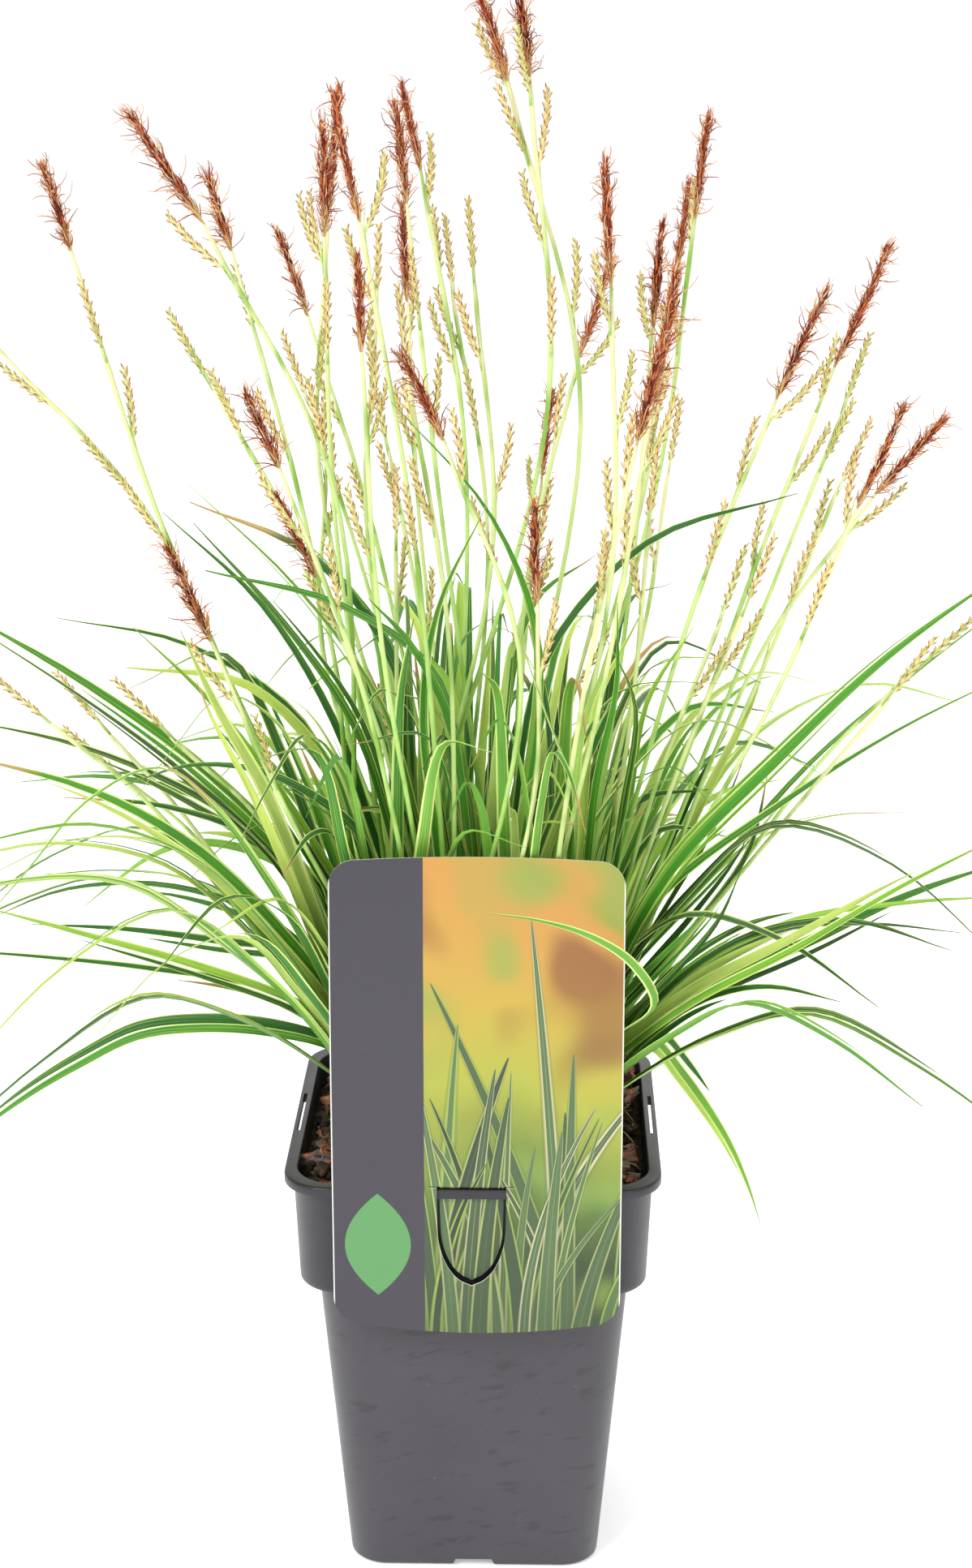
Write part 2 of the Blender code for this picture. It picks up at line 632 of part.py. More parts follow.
def add_tongue(bm):
    """Extend the card's surface from the opening's top edge, row by row."""
    top = [vert for vert in bm.verts
           if abs(vert.co.z - TONGUE_TOP) < MERGE and abs(abs(vert.co.x) - TONGUE_HALF) < MERGE]
    left, right = sorted(top, key=lambda vert: vert.co.x)
    for half, y, z in tongue_rows():
        next_left = bm.verts.new((-half, y, z))
        next_right = bm.verts.new((half, y, z))
        bm.faces.new((left, right, next_right, next_left))
        left, right = next_left, next_right


def seen(x, z, depth):
    """A place seen at x, z in the plane Y = 0, in mm, slid along the sight line to its depth."""
    mark = Vector((x * MM, 0, z * MM))
    share = (depth * MM - EYE.y) / (mark.y - EYE.y)
    return EYE + (mark - EYE) * share


def smooth_route(points, count):
    """Evenly spaced stations on a Catmull-Rom curve through the points."""
    ends = [points[0] * 2 - points[1]] + list(points) + [points[-1] * 2 - points[-2]]
    fine = [points[0]]
    for before, start, stop, after in zip(ends, ends[1:], ends[2:], ends[3:]):
        for step in range(1, CURVE_STEPS + 1):
            t = step / CURVE_STEPS
            fine.append(0.5 * (2 * start + (stop - before) * t
                               + (2 * before - 5 * start + 4 * stop - after) * t * t
                               + (3 * start - before - 3 * stop + after) * t * t * t))
    lengths = [0.0]
    for one, two in zip(fine, fine[1:]):
        lengths.append(lengths[-1] + (two - one).length)
    stations = []
    index = 0
    for step in range(count + 1):
        goal = lengths[-1] * step / count
        while index < len(fine) - 2 and lengths[index + 1] < goal:
            index += 1
        share = (goal - lengths[index]) / (lengths[index + 1] - lengths[index])
        stations.append(fine[index].lerp(fine[index + 1], share))
    return stations


def tangents(stations):
    """Directions along a route at its stations."""
    found = []
    for index in range(len(stations)):
        before = stations[max(0, index - 1)]
        after = stations[min(len(stations) - 1, index + 1)]
        found.append((after - before).normalized())
    return found


def turning(points):
    """The sum of a route's turns."""
    legs = [after - before for before, after in zip(points, points[1:])]
    return sum(one.angle(two) for one, two in zip(legs, legs[1:]))


def leaf_width(share, width):
    """Width along a leaf, from the root to the tip."""
    swell = min(1.0, LEAF_ROOT_SHARE + share * LEAF_SWELL)
    taper = 1 - max(0.0, (share - LEAF_TAPER_FROM) / (1 - LEAF_TAPER_FROM)) ** LEAF_TAPER_POWER
    return max(LEAF_TIP_WIDTH, width * swell * taper)


def carried(facing, directions):
    """A sideways direction at each station, set at the middle one and carried along untwisted."""
    middle = len(directions) // 2
    along = directions[middle]
    start = (facing - along * facing.dot(along)).normalized()
    onward = [start]
    for before, after in zip(directions[middle:], directions[middle + 1:]):
        onward.append(before.rotation_difference(after) @ onward[-1])
    back = [start]
    for index in range(middle, 0, -1):
        back.append(directions[index].rotation_difference(directions[index - 1]) @ back[-1])
    return back[:0:-1] + onward


def blade_rings(route, width, facing, twist, margin=0.0):
    """Three-cornered sections of a keeled blade whose upper face looks towards facing."""
    steps = LEAF_STEPS - 1
    if turning(route[1:]) > SHARP_TURN:
        steps += SHARP_STEPS
    stations = [route[0]] + smooth_route(route[1:], steps)
    directions = tangents(stations)
    rings = []
    for index, (place, along, plain) in enumerate(zip(stations, directions, carried(facing, directions))):
        share = max(0, index - 1) / steps
        upper = turned(plain, along, twist * (share - LEAF_TWIST_START))
        across = along.cross(upper)
        half = leaf_width(share, width) / 2
        keel = max(LEAF_MIN_KEEL, LEAF_KEEL_SHARE * 2 * half)
        rings.append((place - across * (half + margin) + upper * margin,
                      place + across * (half + margin) + upper * margin,
                      place - upper * (keel + margin)))
    return rings


def rod_rings(stations, foot_size, top_size, margin=0.0):
    """Three-cornered sections of a stem that thins upwards."""
    rings = []
    for index, (place, along) in enumerate(zip(stations, tangents(stations))):
        size = foot_size + (top_size - foot_size) * index / (len(stations) - 1) + margin
        side = along.cross(SIDE_HINT).normalized()
        rings.append([place + turned(side, along, corner * math.tau / 3) * size for corner in range(3)])
    return rings


def turned(vector, axis, angle):
    """A vector turned about an axis."""
    return Matrix.Rotation(angle, 3, axis) @ vector


def spike_rings(foot, tip, radius, scales, margin=0.0):
    """Stacked cups of scales: narrow and wide sections by turns, each turned on the last."""
    along = (tip - foot).normalized()
    side = along.cross(SIDE_HINT).normalized()
    rings = []
    count = 2 * scales
    thin_foot, thin_tip = SPIKE_BELLY
    for index in range(count + 1):
        share = index / count
        belly = math.sin(math.pi * (thin_foot + (thin_tip - thin_foot) * share)) ** SPIKE_BELLY_POWER
        size = radius * belly * (SPIKE_WAIST if index % 2 == 0 else 1.0) + margin
        place = foot.lerp(tip, share)
        start = index * math.pi / 3
        rings.append([place + turned(side, along, start + corner * math.tau / 3) * size
                      for corner in range(3)])
    return rings


def rings_tree(rings):
    """A search tree of a lofted piece."""
    bm = bmesh.new()
    loft(bm, rings)
    tree = BVHTree.FromBMesh(bm)
    bm.free()
    return tree


def crosses_itself(rings):
    """Whether a lofted piece folds through itself, as a blade does where it turns too sharply."""
    bm = bmesh.new()
    loft(bm, rings)
    corners = [set(face.verts) for face in bm.faces]
    tree = BVHTree.FromBMesh(bm)
    crossed = any(one < two and not corners[one] & corners[two] for one, two in tree.overlap(tree))
    bm.free()
    return crossed


class Thicket:
    """What is placed so far, by owner, so that nothing new touches another owner's piece."""

    def __init__(self, fixed):
        self.placed = [("fixed", tree_of(thing.data)) for thing in fixed]

    def is_clear(self, owner, swollen):
        """Whether swollen pieces touch nothing of any other owner."""
        for rings in swollen:
            tree = rings_tree(rings)
            if any(other != owner and tree.overlap(standing) for other, standing in self.placed):
                return False
        return True

    def is_apart(self, owner, pieces):
        """Whether pieces, above their lowest section, touch nothing of their own owner."""
        for rings in pieces:
            tree = rings_tree(rings[1:])
            if any(other == owner and tree.overlap(standing) for other, standing in self.placed):
                return False
        return True

    def add(self, owner, rings):
        self.placed.append((owner, rings_tree(rings)))


def stem_route(foot, top, lean):
    """Route of a flowering stem, rising steeply and then leaning as its spike does."""
    away = top - foot
    neck = foot + Vector((away.x * 0.01, away.y * 0.01, NECK_Z - foot.z))
    low = foot + Vector((away.x * 0.1, away.y * 0.1, away.z * 0.28))
    high = (top - lean * away.z * 0.3).lerp(foot + away * 0.68, 0.35)
    return (foot, neck, low, high, top)


def stem_pieces(spot, row, nudge, turn, margin=0.0):
    """Sections of a stem, its female spikes and its male spike."""
    tip_x, tip_z, foot_x, foot_z, depth, females = row
    tip = seen(tip_x, tip_z, depth + nudge)
    top = seen(foot_x, foot_z, depth + nudge)
    lean = (tip - top).normalized()
    away = Vector((top.x - spot.x, top.y - spot.y, 0)).normalized()
    foot = Vector((spot.x, spot.y, FOOT_Z)) + turned(away, UP, turn) * STEM_RADIUS * STEM_FOOT_SHARE
    route = stem_route(foot, top, lean)
    stations = [route[0]] + smooth_route(route[1:], STEM_STEPS - 1)
    stem = rod_rings(stations, STEM_FOOT_SIZE, STEM_TOP_SIZE, margin)
    fine = smooth_route(route, STEM_STEPS * CURVE_STEPS)
    spikes = []
    for index, distance in enumerate(females):
        at, along = station_below_top(fine, distance * MM)
        side = along.cross(turned(Vector((0, 1, 0)), along, index * FEMALE_TURN + depth + turn)).normalized()
        lean_out = FEMALE_LEAN * (1 + max(0.0, 1 - distance * MM / FEMALE_LENGTH))
        heading = along * math.cos(lean_out) + side * math.sin(lean_out)
        neck = at + heading * FEMALE_NECK
        rings = rod_rings([at, neck], FEMALE_NECK_SIZE, FEMALE_NECK_SIZE, margin)[:1]
        spikes.append(rings + spike_rings(neck, neck + heading * FEMALE_LENGTH, FEMALE_RADIUS,
                                          FEMALE_SCALES, margin))
    male = spike_rings(top + lean * MALE_GAP, tip, MALE_RADIUS, MALE_SCALES, margin)
    return stem, spikes, male


def station_below_top(stations, distance):
    """The place and direction at a distance down from a route's end."""
    for low, high in zip(reversed(stations[:-1]), reversed(stations)):
        step = (high - low).length
        if distance <= step:
            return high.lerp(low, distance / step), (high - low).normalized()
        distance -= step
    return stations[0], (stations[1] - stations[0]).normalized()


def nudges(count, step):
    """Offsets that grow outwards, to both sides in turn: 0, 1, -1, 2, -2 and so on."""
    return [step * ((index + 1) // 2) * (1 if index % 2 else -1) for index in range(count)]


def place_stems(thicket, spots):
    """Give each stem to the nearest free spot and find a depth where it touches no other."""
    homes = [index for index in range(SPOT_COUNT) if index % 2]
    share = math.ceil(len(STEMS) / len(homes))
    bunches = {home: [] for home in homes}
    for row in sorted(STEMS, key=lambda entry: -math.hypot(entry[2], entry[4])):
        aim = Vector((row[2], row[4], 0)) * MM * STEM_AIM
        free = [home for home in homes if len(bunches[home]) < share]
        home = min(free, key=lambda index: (spots[index] - aim).length)
        steps = zip(nudges(PLACE_TRIES, STEM_DEPTH_STEP), nudges(PLACE_TRIES, STEM_TURN_STEP))
        free_steps = (step for step in steps if stem_fits(thicket, f"stems{home}", spots[home], row, step))
        stem, females, male = stem_pieces(spots[home], row, *next(free_steps))
        bunches[home].append((stem, females, male))
        for rings in [stem] + females:
            thicket.add(f"stems{home}", rings)
        thicket.add(f"male{len(thicket.placed)}", male)
    return bunches


def stem_fits(thicket, owner, spot, row, step):
    """Whether a stem and its spikes, swollen by their gap, touch nothing at this depth and turn."""
    stem, females, male = stem_pieces(spot, row, *step, 2 * GAP)
    own = [stem] + females
    male_tree = rings_tree(male)
    return (not any(male_tree.overlap(rings_tree(rings)) for rings in females)
            and thicket.is_clear(owner, own) and thicket.is_clear("male", [male])
            and thicket.is_apart(owner, own))


def leaf_route(draw, spot, outer):
    """Route from the root out through the given places, which start where the leaf shows."""
    first = outer[0]
    angle = math.atan2(first.y - spot.y, first.x - spot.x) + draw.gauss(0, LEAF_ROOT_SPREAD)
    away = Vector((math.cos(angle), math.sin(angle), 0)) * TUFT_RADIUS * ROOT_FILL * math.sqrt(draw.random())
    foot = Vector((spot.x, spot.y, FOOT_Z)) + away
    neck = Vector((spot.x, spot.y, NECK_Z)) + away
    return [foot, neck] + outer


def seen_leaf(row, nudge):
    """The places that a leaf of the front view passes, from where it shows out to its tip."""
    tip_depth, foot_depth, width, marks = row
    last = len(marks) - 1
    outer = []
    for index, (x, z) in enumerate(marks):
        inwards = index / last
        depth = tip_depth + (foot_depth - tip_depth) * inwards + nudge * (1 - SEEN_ROOT_NUDGE * inwards)
        outer.append(seen(x, z, depth))
    outer.reverse()
    return outer, width * SEEN_WIDTH_SCALE * MM


def fill_leaf(draw, spot, ranges):
    """Places along an arching leaf drawn by rule, leaning away from the clump's middle."""
    angle = draw.uniform(0, math.tau)
    if spot.length > SPOT_SPREAD:
        angle = math.atan2(spot.y, spot.x) + draw.gauss(0, FILL_HEADING_SPREAD)
    out = Vector((math.cos(angle), math.sin(angle), 0))
    reaches, heights, widths = ranges
    reach = draw.uniform(*reaches) * MM
    length_share = reach / FILL_LONGEST
    height = draw.uniform(*heights) * MM * (1 - FILL_LOWERING * length_share)
    base = Vector((spot.x, spot.y, SOIL_EDGE_Z))
    droop = draw.uniform(0.0, FILL_DROOP) * length_share
    arch = FILL_ARCH + ((1, 1 - droop),)
    outer = [base + out * reach * outwards + UP * height * upwards for outwards, upwards in arch]
    return outer, draw.uniform(*widths) * MM


def leaf_facing(route, draw):
    """Which way a leaf's upper face looks: up and in along the arch, turned a little."""
    out = route[-1] - route[0]
    out.z = 0
    out = out.normalized() if out.length > 0 else Vector((1, 0, 0))
    return turned(UP - out * LEAF_FACING_OUT, UP, draw.gauss(0, LEAF_FACING_SPREAD))


def seen_candidates(row, homes):
    """A leaf of the front view at growing nudges, at each of the given tufts."""
    for nudge in nudges(PLACE_TRIES, LEAF_DEPTH_STEP):
        for home in homes:
            yield home, *seen_leaf(row, nudge)


def fill_candidates(draw, spots, homes, ranges):
    """Leaves drawn by rule, each at one of the given tufts."""
    for _ in range(FILL_TRIES):
        home = draw.choice(homes)
        yield home, *fill_leaf(draw, spots[home], ranges)


def place_leaves(thicket, spots):
    """Give each leaf to a tuft, and find a depth, turn and twist where it touches no other."""
    tufts = {index: [] for index in range(SPOT_COUNT) if index % 2 == 0}
    draw = random.Random(LEAF_SEED)
    for row in SEEN_LEAVES:
        inner = seen_leaf(row, 0)[0][0]
        aim = Vector((inner.x, inner.y, 0)) * SEEN_AIM
        homes = sorted(tufts, key=lambda index: (spots[index] - aim).length)
        homes = [home for home in homes if len(tufts[home]) < LEAVES_PER_TUFT][:NEAREST_TUFTS]
        place_leaf(thicket, tufts, spots, draw, seen_candidates(row, homes), LEAF_TO_EYE)
    for count, *ranges in FILLS:
        for _ in range(count):
            homes = sorted(tufts, key=lambda home: len(tufts[home]))[:EMPTIEST_TUFTS]
            place_leaf(thicket, tufts, spots, draw, fill_candidates(draw, spots, homes, ranges), 0.0)
    return tufts


def place_leaf(thicket, tufts, spots, draw, candidates, to_eye):
    """Add the first candidate that touches nothing, if one does, turning and twisting by chance."""
    for home, outer, width in candidates:
        route = leaf_route(draw, spots[home], outer)
        facing = leaf_facing(route, draw) + (EYE - outer[-1]).normalized() * to_eye
        twist = draw.gauss(0, LEAF_TWIST_SPREAD)
        rings = blade_rings(route, width, facing, twist)
        swollen = blade_rings(route, width, facing, twist, GAP)
        if crosses_itself(rings):
            continue
        if thicket.is_apart(f"tuft{home}", [rings]) and thicket.is_clear(f"tuft{home}", [swollen]):
            tufts[home].append(rings)
            thicket.add(f"tuft{home}", rings)
            return


def root_post(spot, radius, name, collection, material):
    """The bundle of sheaths or roots that a tuft or a bunch of stems grows from."""
    low = SOIL_EDGE_Z - HOLE_DEPTH + GAP
    post = root_prism(name, spot, radius, radius * ROOT_TAPER, low, SOIL_CROWN_Z + ROOT_TOP, collection)
    post.data.materials.append(material)
    return post


def lofted(rings, collection, name="piece", material=None):
    """An object skinned over its rings."""
    bm = bmesh.new()
    loft(bm, rings)
    return new_object(name, bm, collection, material)


def build_plant(fixed, collection, materials):
    """Place stems and leaves, then fuse each bunch and each tuft into one body."""
    spots = root_spots()
    thicket = Thicket(fixed)
    posts = {}
    for index, spot in enumerate(spots):
        owner = f"tuft{index}" if index % 2 == 0 else f"stems{index}"
        kind = materials["leaf_green"] if index % 2 == 0 else materials["stem_lime"]
        name = f"leaf_tuft_{index // 2 + 1:02d}" if index % 2 == 0 else f"stem_bunch_{index // 2 + 1:02d}"
        posts[index] = root_post(spot, root_radius(index), name, collection, kind)
        thicket.placed.append((owner, tree_of(posts[index].data)))
    bunches = place_stems(thicket, spots)
    tufts = place_leaves(thicket, spots)
    number = 0
    for home, stems in bunches.items():
        parts = []
        for stem, females, male in stems:
            parts += [lofted(rings, collection) for rings in [stem] + females]
            number += 1
            lofted(male, collection, f"male_spike_{number:02d}", materials["spike_brown"])
        combine(posts[home], parts, "UNION")
    for home, blades in tufts.items():
        combine(posts[home], [lofted(rings, collection) for rings in blades], "UNION")


def main():
    clear_scene()
    collection = bpy.data.collections.new("carex_sedge")
    bpy.context.scene.collection.children.link(collection)
    materials = {name: make_material(name) for name in COLOURS}
    pot = build_pot(collection, materials["pot_black"])
    soil = build_soil(collection, materials["soil_peat"])
    chips = build_chips(soil, collection, materials["bark_brown"])
    label = build_label(collection, materials["label_card"])
    bake(label)
    build_plant([pot, soil, label] + chips, collection, materials)


main()
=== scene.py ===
"""The looks of the potted carex sedge: fine leaves, spikes, soil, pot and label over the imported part.

Units are metres in the part's own frame: +Z is up, the pot stands on Z = 0 and the label faces -Y.
Leaf blades are read from their nodes and made fine. Flowering stems follow the same rows and rules
as the part, at the depth where their male spike stands in the frame.
"""

import math
import random

import bmesh
import bpy
from mathutils import Matrix, Vector, noise


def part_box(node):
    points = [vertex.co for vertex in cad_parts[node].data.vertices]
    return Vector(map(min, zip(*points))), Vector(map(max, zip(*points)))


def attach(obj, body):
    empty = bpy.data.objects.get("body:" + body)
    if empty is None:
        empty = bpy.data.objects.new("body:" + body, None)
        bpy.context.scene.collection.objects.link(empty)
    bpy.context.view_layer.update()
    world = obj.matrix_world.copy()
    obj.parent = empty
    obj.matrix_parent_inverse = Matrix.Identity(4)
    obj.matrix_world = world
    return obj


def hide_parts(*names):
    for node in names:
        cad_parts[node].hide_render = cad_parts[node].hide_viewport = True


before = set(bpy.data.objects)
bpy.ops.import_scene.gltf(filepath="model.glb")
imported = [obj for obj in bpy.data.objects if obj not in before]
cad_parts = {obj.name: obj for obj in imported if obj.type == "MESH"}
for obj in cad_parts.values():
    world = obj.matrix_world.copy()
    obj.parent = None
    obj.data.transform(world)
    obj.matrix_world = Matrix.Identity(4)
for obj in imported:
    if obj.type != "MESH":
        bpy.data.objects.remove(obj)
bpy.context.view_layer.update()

MM = 0.001
CLOSE = 0.01 * MM
UP = Vector((0, 0, 1))
GOLDEN_ANGLE = math.radians(137.5)

# The photograph's frame and the camera that was fitted to it.
IMAGE_HEIGHT = 1933
FOCAL_PIXELS = 3311
SENSOR = 36.0
CAMERA_PLACE = Vector((18.8, -759.5, 465.3)) * MM
CAMERA_PITCH = math.radians(16.58)
CAMERA_AZIMUTH = math.radians(1.19)

# The stage: a glowing floor, a sky that dims from the horizon to the zenith, and area lights as
# name, place, size and power.
FLOOR_SIZE = 240
FLOOR_Z = -0.1 * MM
FLOOR_GLOW = 0.34
SKY_LOW = 0.3
SKY_HIGH = 0.8
SKY_LOW_GLOW = 1.0
SKY_HIGH_GLOW = 0.6
LIGHTS_AIM = Vector((0, 0, 0.2))
LIGHTS = (
    ("key", (-1.2, -1.5, 1.8), 0.9, 36),
    ("fill", (1.6, -1.1, 1.1), 1.6, 8),
    ("back", (0.3, 1.6, 1.8), 1.6, 16),
)

# Pot: half widths are measured from the axis to a flat side.
POT_HEIGHT = 134 * MM
RIM_HALF = 55 * MM
RIM_HEIGHT = 3 * MM
RIM_EDGE = 0.6 * MM
WALL = 1.2 * MM
COLLAR_TOP_HALF = 52.5 * MM
COLLAR_FOOT_HALF = 51.2 * MM
COLLAR_HEIGHT = 35 * MM
STEP_HEIGHT = 1.6 * MM
BODY_TOP_HALF = 46.2 * MM
BODY_FOOT_HALF = 38 * MM
FOOT_EDGE = 1.5 * MM
FLOOR = 1.6 * MM
CORNER_RADIUS = 14 * MM
FOOT_CORNER_RADIUS = 11 * MM
CORNER_STEPS = 12
DRAIN_WIDTH = 13 * MM
DRAIN_HEIGHT = 2.4 * MM
DRAIN_DEPTH = 9 * MM
DRAIN_SLOPE = 1 * MM
SLOT_LENGTH = 28 * MM
SLOT_WIDTH = 1.1 * MM
RAIL_WIDTH = 1.1 * MM
POT_CREASE = math.radians(35)

# Soil
SOIL_EDGE_Z = 125.5 * MM
SOIL_CROWN_Z = 129 * MM
SOIL_HALF = 51 * MM
SOIL_MOUND_HALF = 47 * MM
SOIL_RELIEF = 1.3 * MM
SOIL_NOISE_SCALE = 95
SOIL_CELL = 1.0 * MM
SOIL_DEPTH = 14 * MM
SOIL_NARROWING = 0.94
SOIL_LUMPS = ((420, 0.55), (900, 0.3))
SOIL_SINK = 0.25
WALL_DROP = 0.8
WALL_DROP_FROM = 48 * MM
WALL_DROP_RUN = 3 * MM
CRUMBS = 1300
CRUMB_REACH = 48 * MM
LOOSE_CRUMB = (0.5, 1.9)
HEAPED_CRUMB = (0.5, 2.6)
FIBRES = 420
FIBRE_LENGTH = (3, 15)
FIBRE_ARCH = (0.3, 2.2)
FIBRE_WIDTHS = (0.12, 0.15, 0.2, 0.35)
BARK_BITS = 270
BIT_LENGTH = (2.5, 11)
BIT_WIDTH = (0.3, 0.75)
BIT_HEIGHT = (0.12, 0.3)
CHIP_CUTS = 5
CHIP_GRAIN = 230
CHIP_LAYERS = Vector((500, 500, 1600))
BIT_CREASE = math.radians(40)
CHIP_CREASE = math.radians(45)
LITTER_REACH = 46 * MM
LITTER_EDGE = 50 * MM
HEAP = 7 * MM
HEAP_FROM = 36 * MM
HEAP_RUN = 6 * MM

# Crown
SPOT_COUNT = 22
TUFT_SPOTS = range(0, SPOT_COUNT, 2)
STEM_SPOTS = range(1, SPOT_COUNT, 2)
SPOT_SPREAD = 8.1 * MM
TUFT_RADIUS = 6.0 * MM
STEM_RADIUS = 3.5 * MM
FOOT_Z = 117.5 * MM
NECK_Z = 139 * MM

# Flowering stems
STEM_STEPS = 6
STEM_FOOT_SHARE = 0.45
STEM_AIM = 0.32
STEM_DEPTH_STEP = 1.5
STEM_TURN_STEP = 0.4
STEM_TRIES = 150
CURVE_STEPS = 8
FEMALE_LENGTH = 20 * MM
FEMALE_LEAN = math.radians(20)
FEMALE_NECK = 2.6 * MM
FEMALE_TURN = 2.2
MALE_RADIUS = 2.3 * MM
MALE_SCALES = 4
MALE_GAP = 0.4 * MM
SPIKE_BELLY = (0.12, 0.92)
SPIKE_BELLY_POWER = 0.6
SPIKE_WAIST = 0.62
SIDE_HINT = Vector((0.3, 1, 0.2))
MATCH = 0.05 * MM
EAR_BEND = 0.7
END_LEAN = math.radians(5)
EAR_UTRICLES = 30
EAR_STEPS = 12
STALK_RADII = (0.4, 0.42, 0.5, 0.5, 0.3)
BRACT_REACH = (6, 15)
BRACT_RADII = (0.5, 0.42, 0.25, 0.08)
CULM_STEPS = 44
CULM_SIDES = 7
CULM_FOOT_RADIUS = 0.9 * MM
CULM_TOP_RADIUS = 0.58 * MM
CULM_END_RADIUS = 0.45 * MM
SHEATH_LENGTH = 18 * MM
SHEATH_THICKNESS = 0.22 * MM
EAR_TURN = math.tau * 2 / 5

# A utricle and the husk under it: share of the length, half width and the husk's lift, in mm.
UTRICLE_LENGTH = 3 * MM
UTRICLE_SIZES = (0.76, 0.95)
UTRICLE_LEANS = (0.32, 0.52)
UTRICLE_ROWS = ((0, 0.22), (0.35, 0.47), (0.7, 0.36), (1.0, 0.05))
HUSK_ROWS = ((0.02, 0.2, 0.2), (0.35, 0.36, 0.44), (0.65, 0.2, 0.46), (0.95, 0.03, 0.5))

# A male spike: its scales, each as shares of the length with half widths in mm, and its filaments.
MALE_THICKNESS = (0.65, 1.15)
MALE_FLUFF = (0.6, 1.35)
SCALES_PER_MM = 3.2
SCALE_ROWS = ((0, 0.18), (0.35, 0.34), (0.7, 0.24), (1.0, 0.04))
SCALE_LENGTH = (3.6, 6.0)
SCALE_SPREAD = (0.03, 0.2)
SPRUNG_SHARE = 0.1
SPRUNG_SPREAD = (0.25, 0.5)
CORE_SHARES = [0, 0.08, 0.2, 0.4, 0.6, 0.8, 0.93, 1.0]
FILAMENTS_PER_MM = 4.6
FILAMENT_STEPS = [0.0, 0.25, 0.5, 0.75, 1.0]
FILAMENT_WIDTH = (0.12, 0.2)
LOOSE_SHARE = 0.4

# How many shorter stems stand beside a flowering one, by chance, and what share of it they reach.
COMPANIONS = (0, 1, 1, 2)
COMPANION_REACH = (0.68, 0.95)
COMPANION_SPIKES = ((17, 30), (40, 70))
COMPANION_FROM_Z = 345 * MM
COMPANION_FROM_Y = -60 * MM

# Flowering stems: male spike's tip x and z, its foot x and z, depth, then the distances of the
# female spikes below that foot, all in mm as seen in the plane Y = 0.
STEMS = (
    (-1, 468, 9, 440, 25, (3, 22, 68)),
    (11, 470, 15, 441, -5, (6, 25, 47, 75)),
    (-120, 417, -113, 394, -25, (30, 56, 86)),
    (-95, 431, -76, 402, -40, (15, 70)),
    (-74, 414, -68, 394, 30, (26, 62)),
    (-42, 429, -42, 398, 5, (9, 34)),
    (-37, 438, -41, 403, 50, (14, 54)),
    (-39, 437, -32, 402, -35, (4, 23, 90)),
    (-20, 439, -15, 416, 60, (11, 33, 60)),
    (-22, 434, -19, 407, 20, (34, 66)),
    (-20, 407, -19, 380, 105, (13, 48)),
    (-55, 399, -47, 376, 80, (38, 70)),
    (-33, 392, -32, 366, -80, (22, 56)),
    (36, 419, 38, 385, -45, (12, 40, 70)),
    (64, 431, 61, 403, 30, (10, 38)),
    (59, 413, 56, 388, 75, (32, 60)),
    (52, 402, 50, 373, -10, (5, 32)),
    (56, 389, 50, 351, -65, (18, 46)),
    (37, 391, 29, 364, 40, (6, 28)),
    (52, 367, 46, 341, -90, (16, 44)),
    (98, 383, 85, 353, -30, (7, 29, 52)),
    (115, 396, 101, 362, 25, (12, 38, 66)),
    (121, 351, 109, 322, -45, (8, 37)),
    (132, 347, 114, 326, 10, (14, 42)),
    (-21, 365, -9, 341, -95, (14, 40)),
    (-65, 354, -56, 333, -70, (22, 44)),
    (-89, 310, -77, 282, -50, (20, 44)),
    (-57, 325, -46, 301, -30, (18,)),
    (17, 323, 18, 294, -105, (21,)),
    (22, 355, 19, 330, 95, (14, 42)),
    (-157, 386, -136, 368, 5, (26, 58)),
)

# Low spikes that droop outwards among the leaves: foot x and z, tip x and z and depth, as above.
LOW_SPIKES = (
    (-125, 257, -140, 267, -20),
    (-109, 255, -126, 271, 15),
    (-90, 253, -104, 263, -35),
    (-105, 241, -121, 251, 30),
    (120, 265, 130, 276, -25),
    (129, 276, 141, 286, 15),
)

# Label
LABEL_LEFT = -40 * MM
LABEL_RIGHT = 43 * MM
LABEL_FOOT = 89 * MM
LABEL_TOP = 233 * MM
LABEL_CORNER = 7 * MM
LABEL_THICKNESS = 0.5 * MM
LABEL_LEAN = 5 * MM
LABEL_Y = -55.6 * MM
LABEL_MIDDLE = (LABEL_LEFT + LABEL_RIGHT) / 2
LABEL_HALF = (LABEL_RIGHT - LABEL_LEFT) / 2
LABEL_BAND = -13.5 * MM
LABEL_FOOT_ARCH = 4 * MM
LABEL_TOP_ARCH = 1.5 * MM
LABEL_ARCH_STEPS = 24
LABEL_BENDS = 24
TONGUE_HALF = 10 * MM
TONGUE_TOP = POT_HEIGHT + 1.4 * MM
TONGUE_EDGE = ((10, 129), (9.5, 118), (7.2, 110.5), (3.8, 106), (0, 104))
TONGUE_TIP_HALF = 0.5 * MM
TONGUE_GAP = 0.8 * MM
SLIT_HALF = 12.3 * MM
SLIT_HEIGHT = 0.5 * MM
PRINT_BLUR = 0.06 * MM
PRINT_FADE = 0.45 * MM
PRINT_END = 0.25 * MM
PRINTED_BLADES = 28
PRINTED_FEET = (-13, 42)
PRINTED_SINK = 4 * MM
PRINTED_HEIGHTS = (34, 76)
PRINTED_FAR_HEIGHT = 84
PRINTED_WIDTHS = (1.4, 3.1)
LOZENGE_X = -27 * MM
LOZENGE_Z = 117 * MM
LOZENGE_HALF = 9.5 * MM
LOZENGE_RISE = 16 * MM

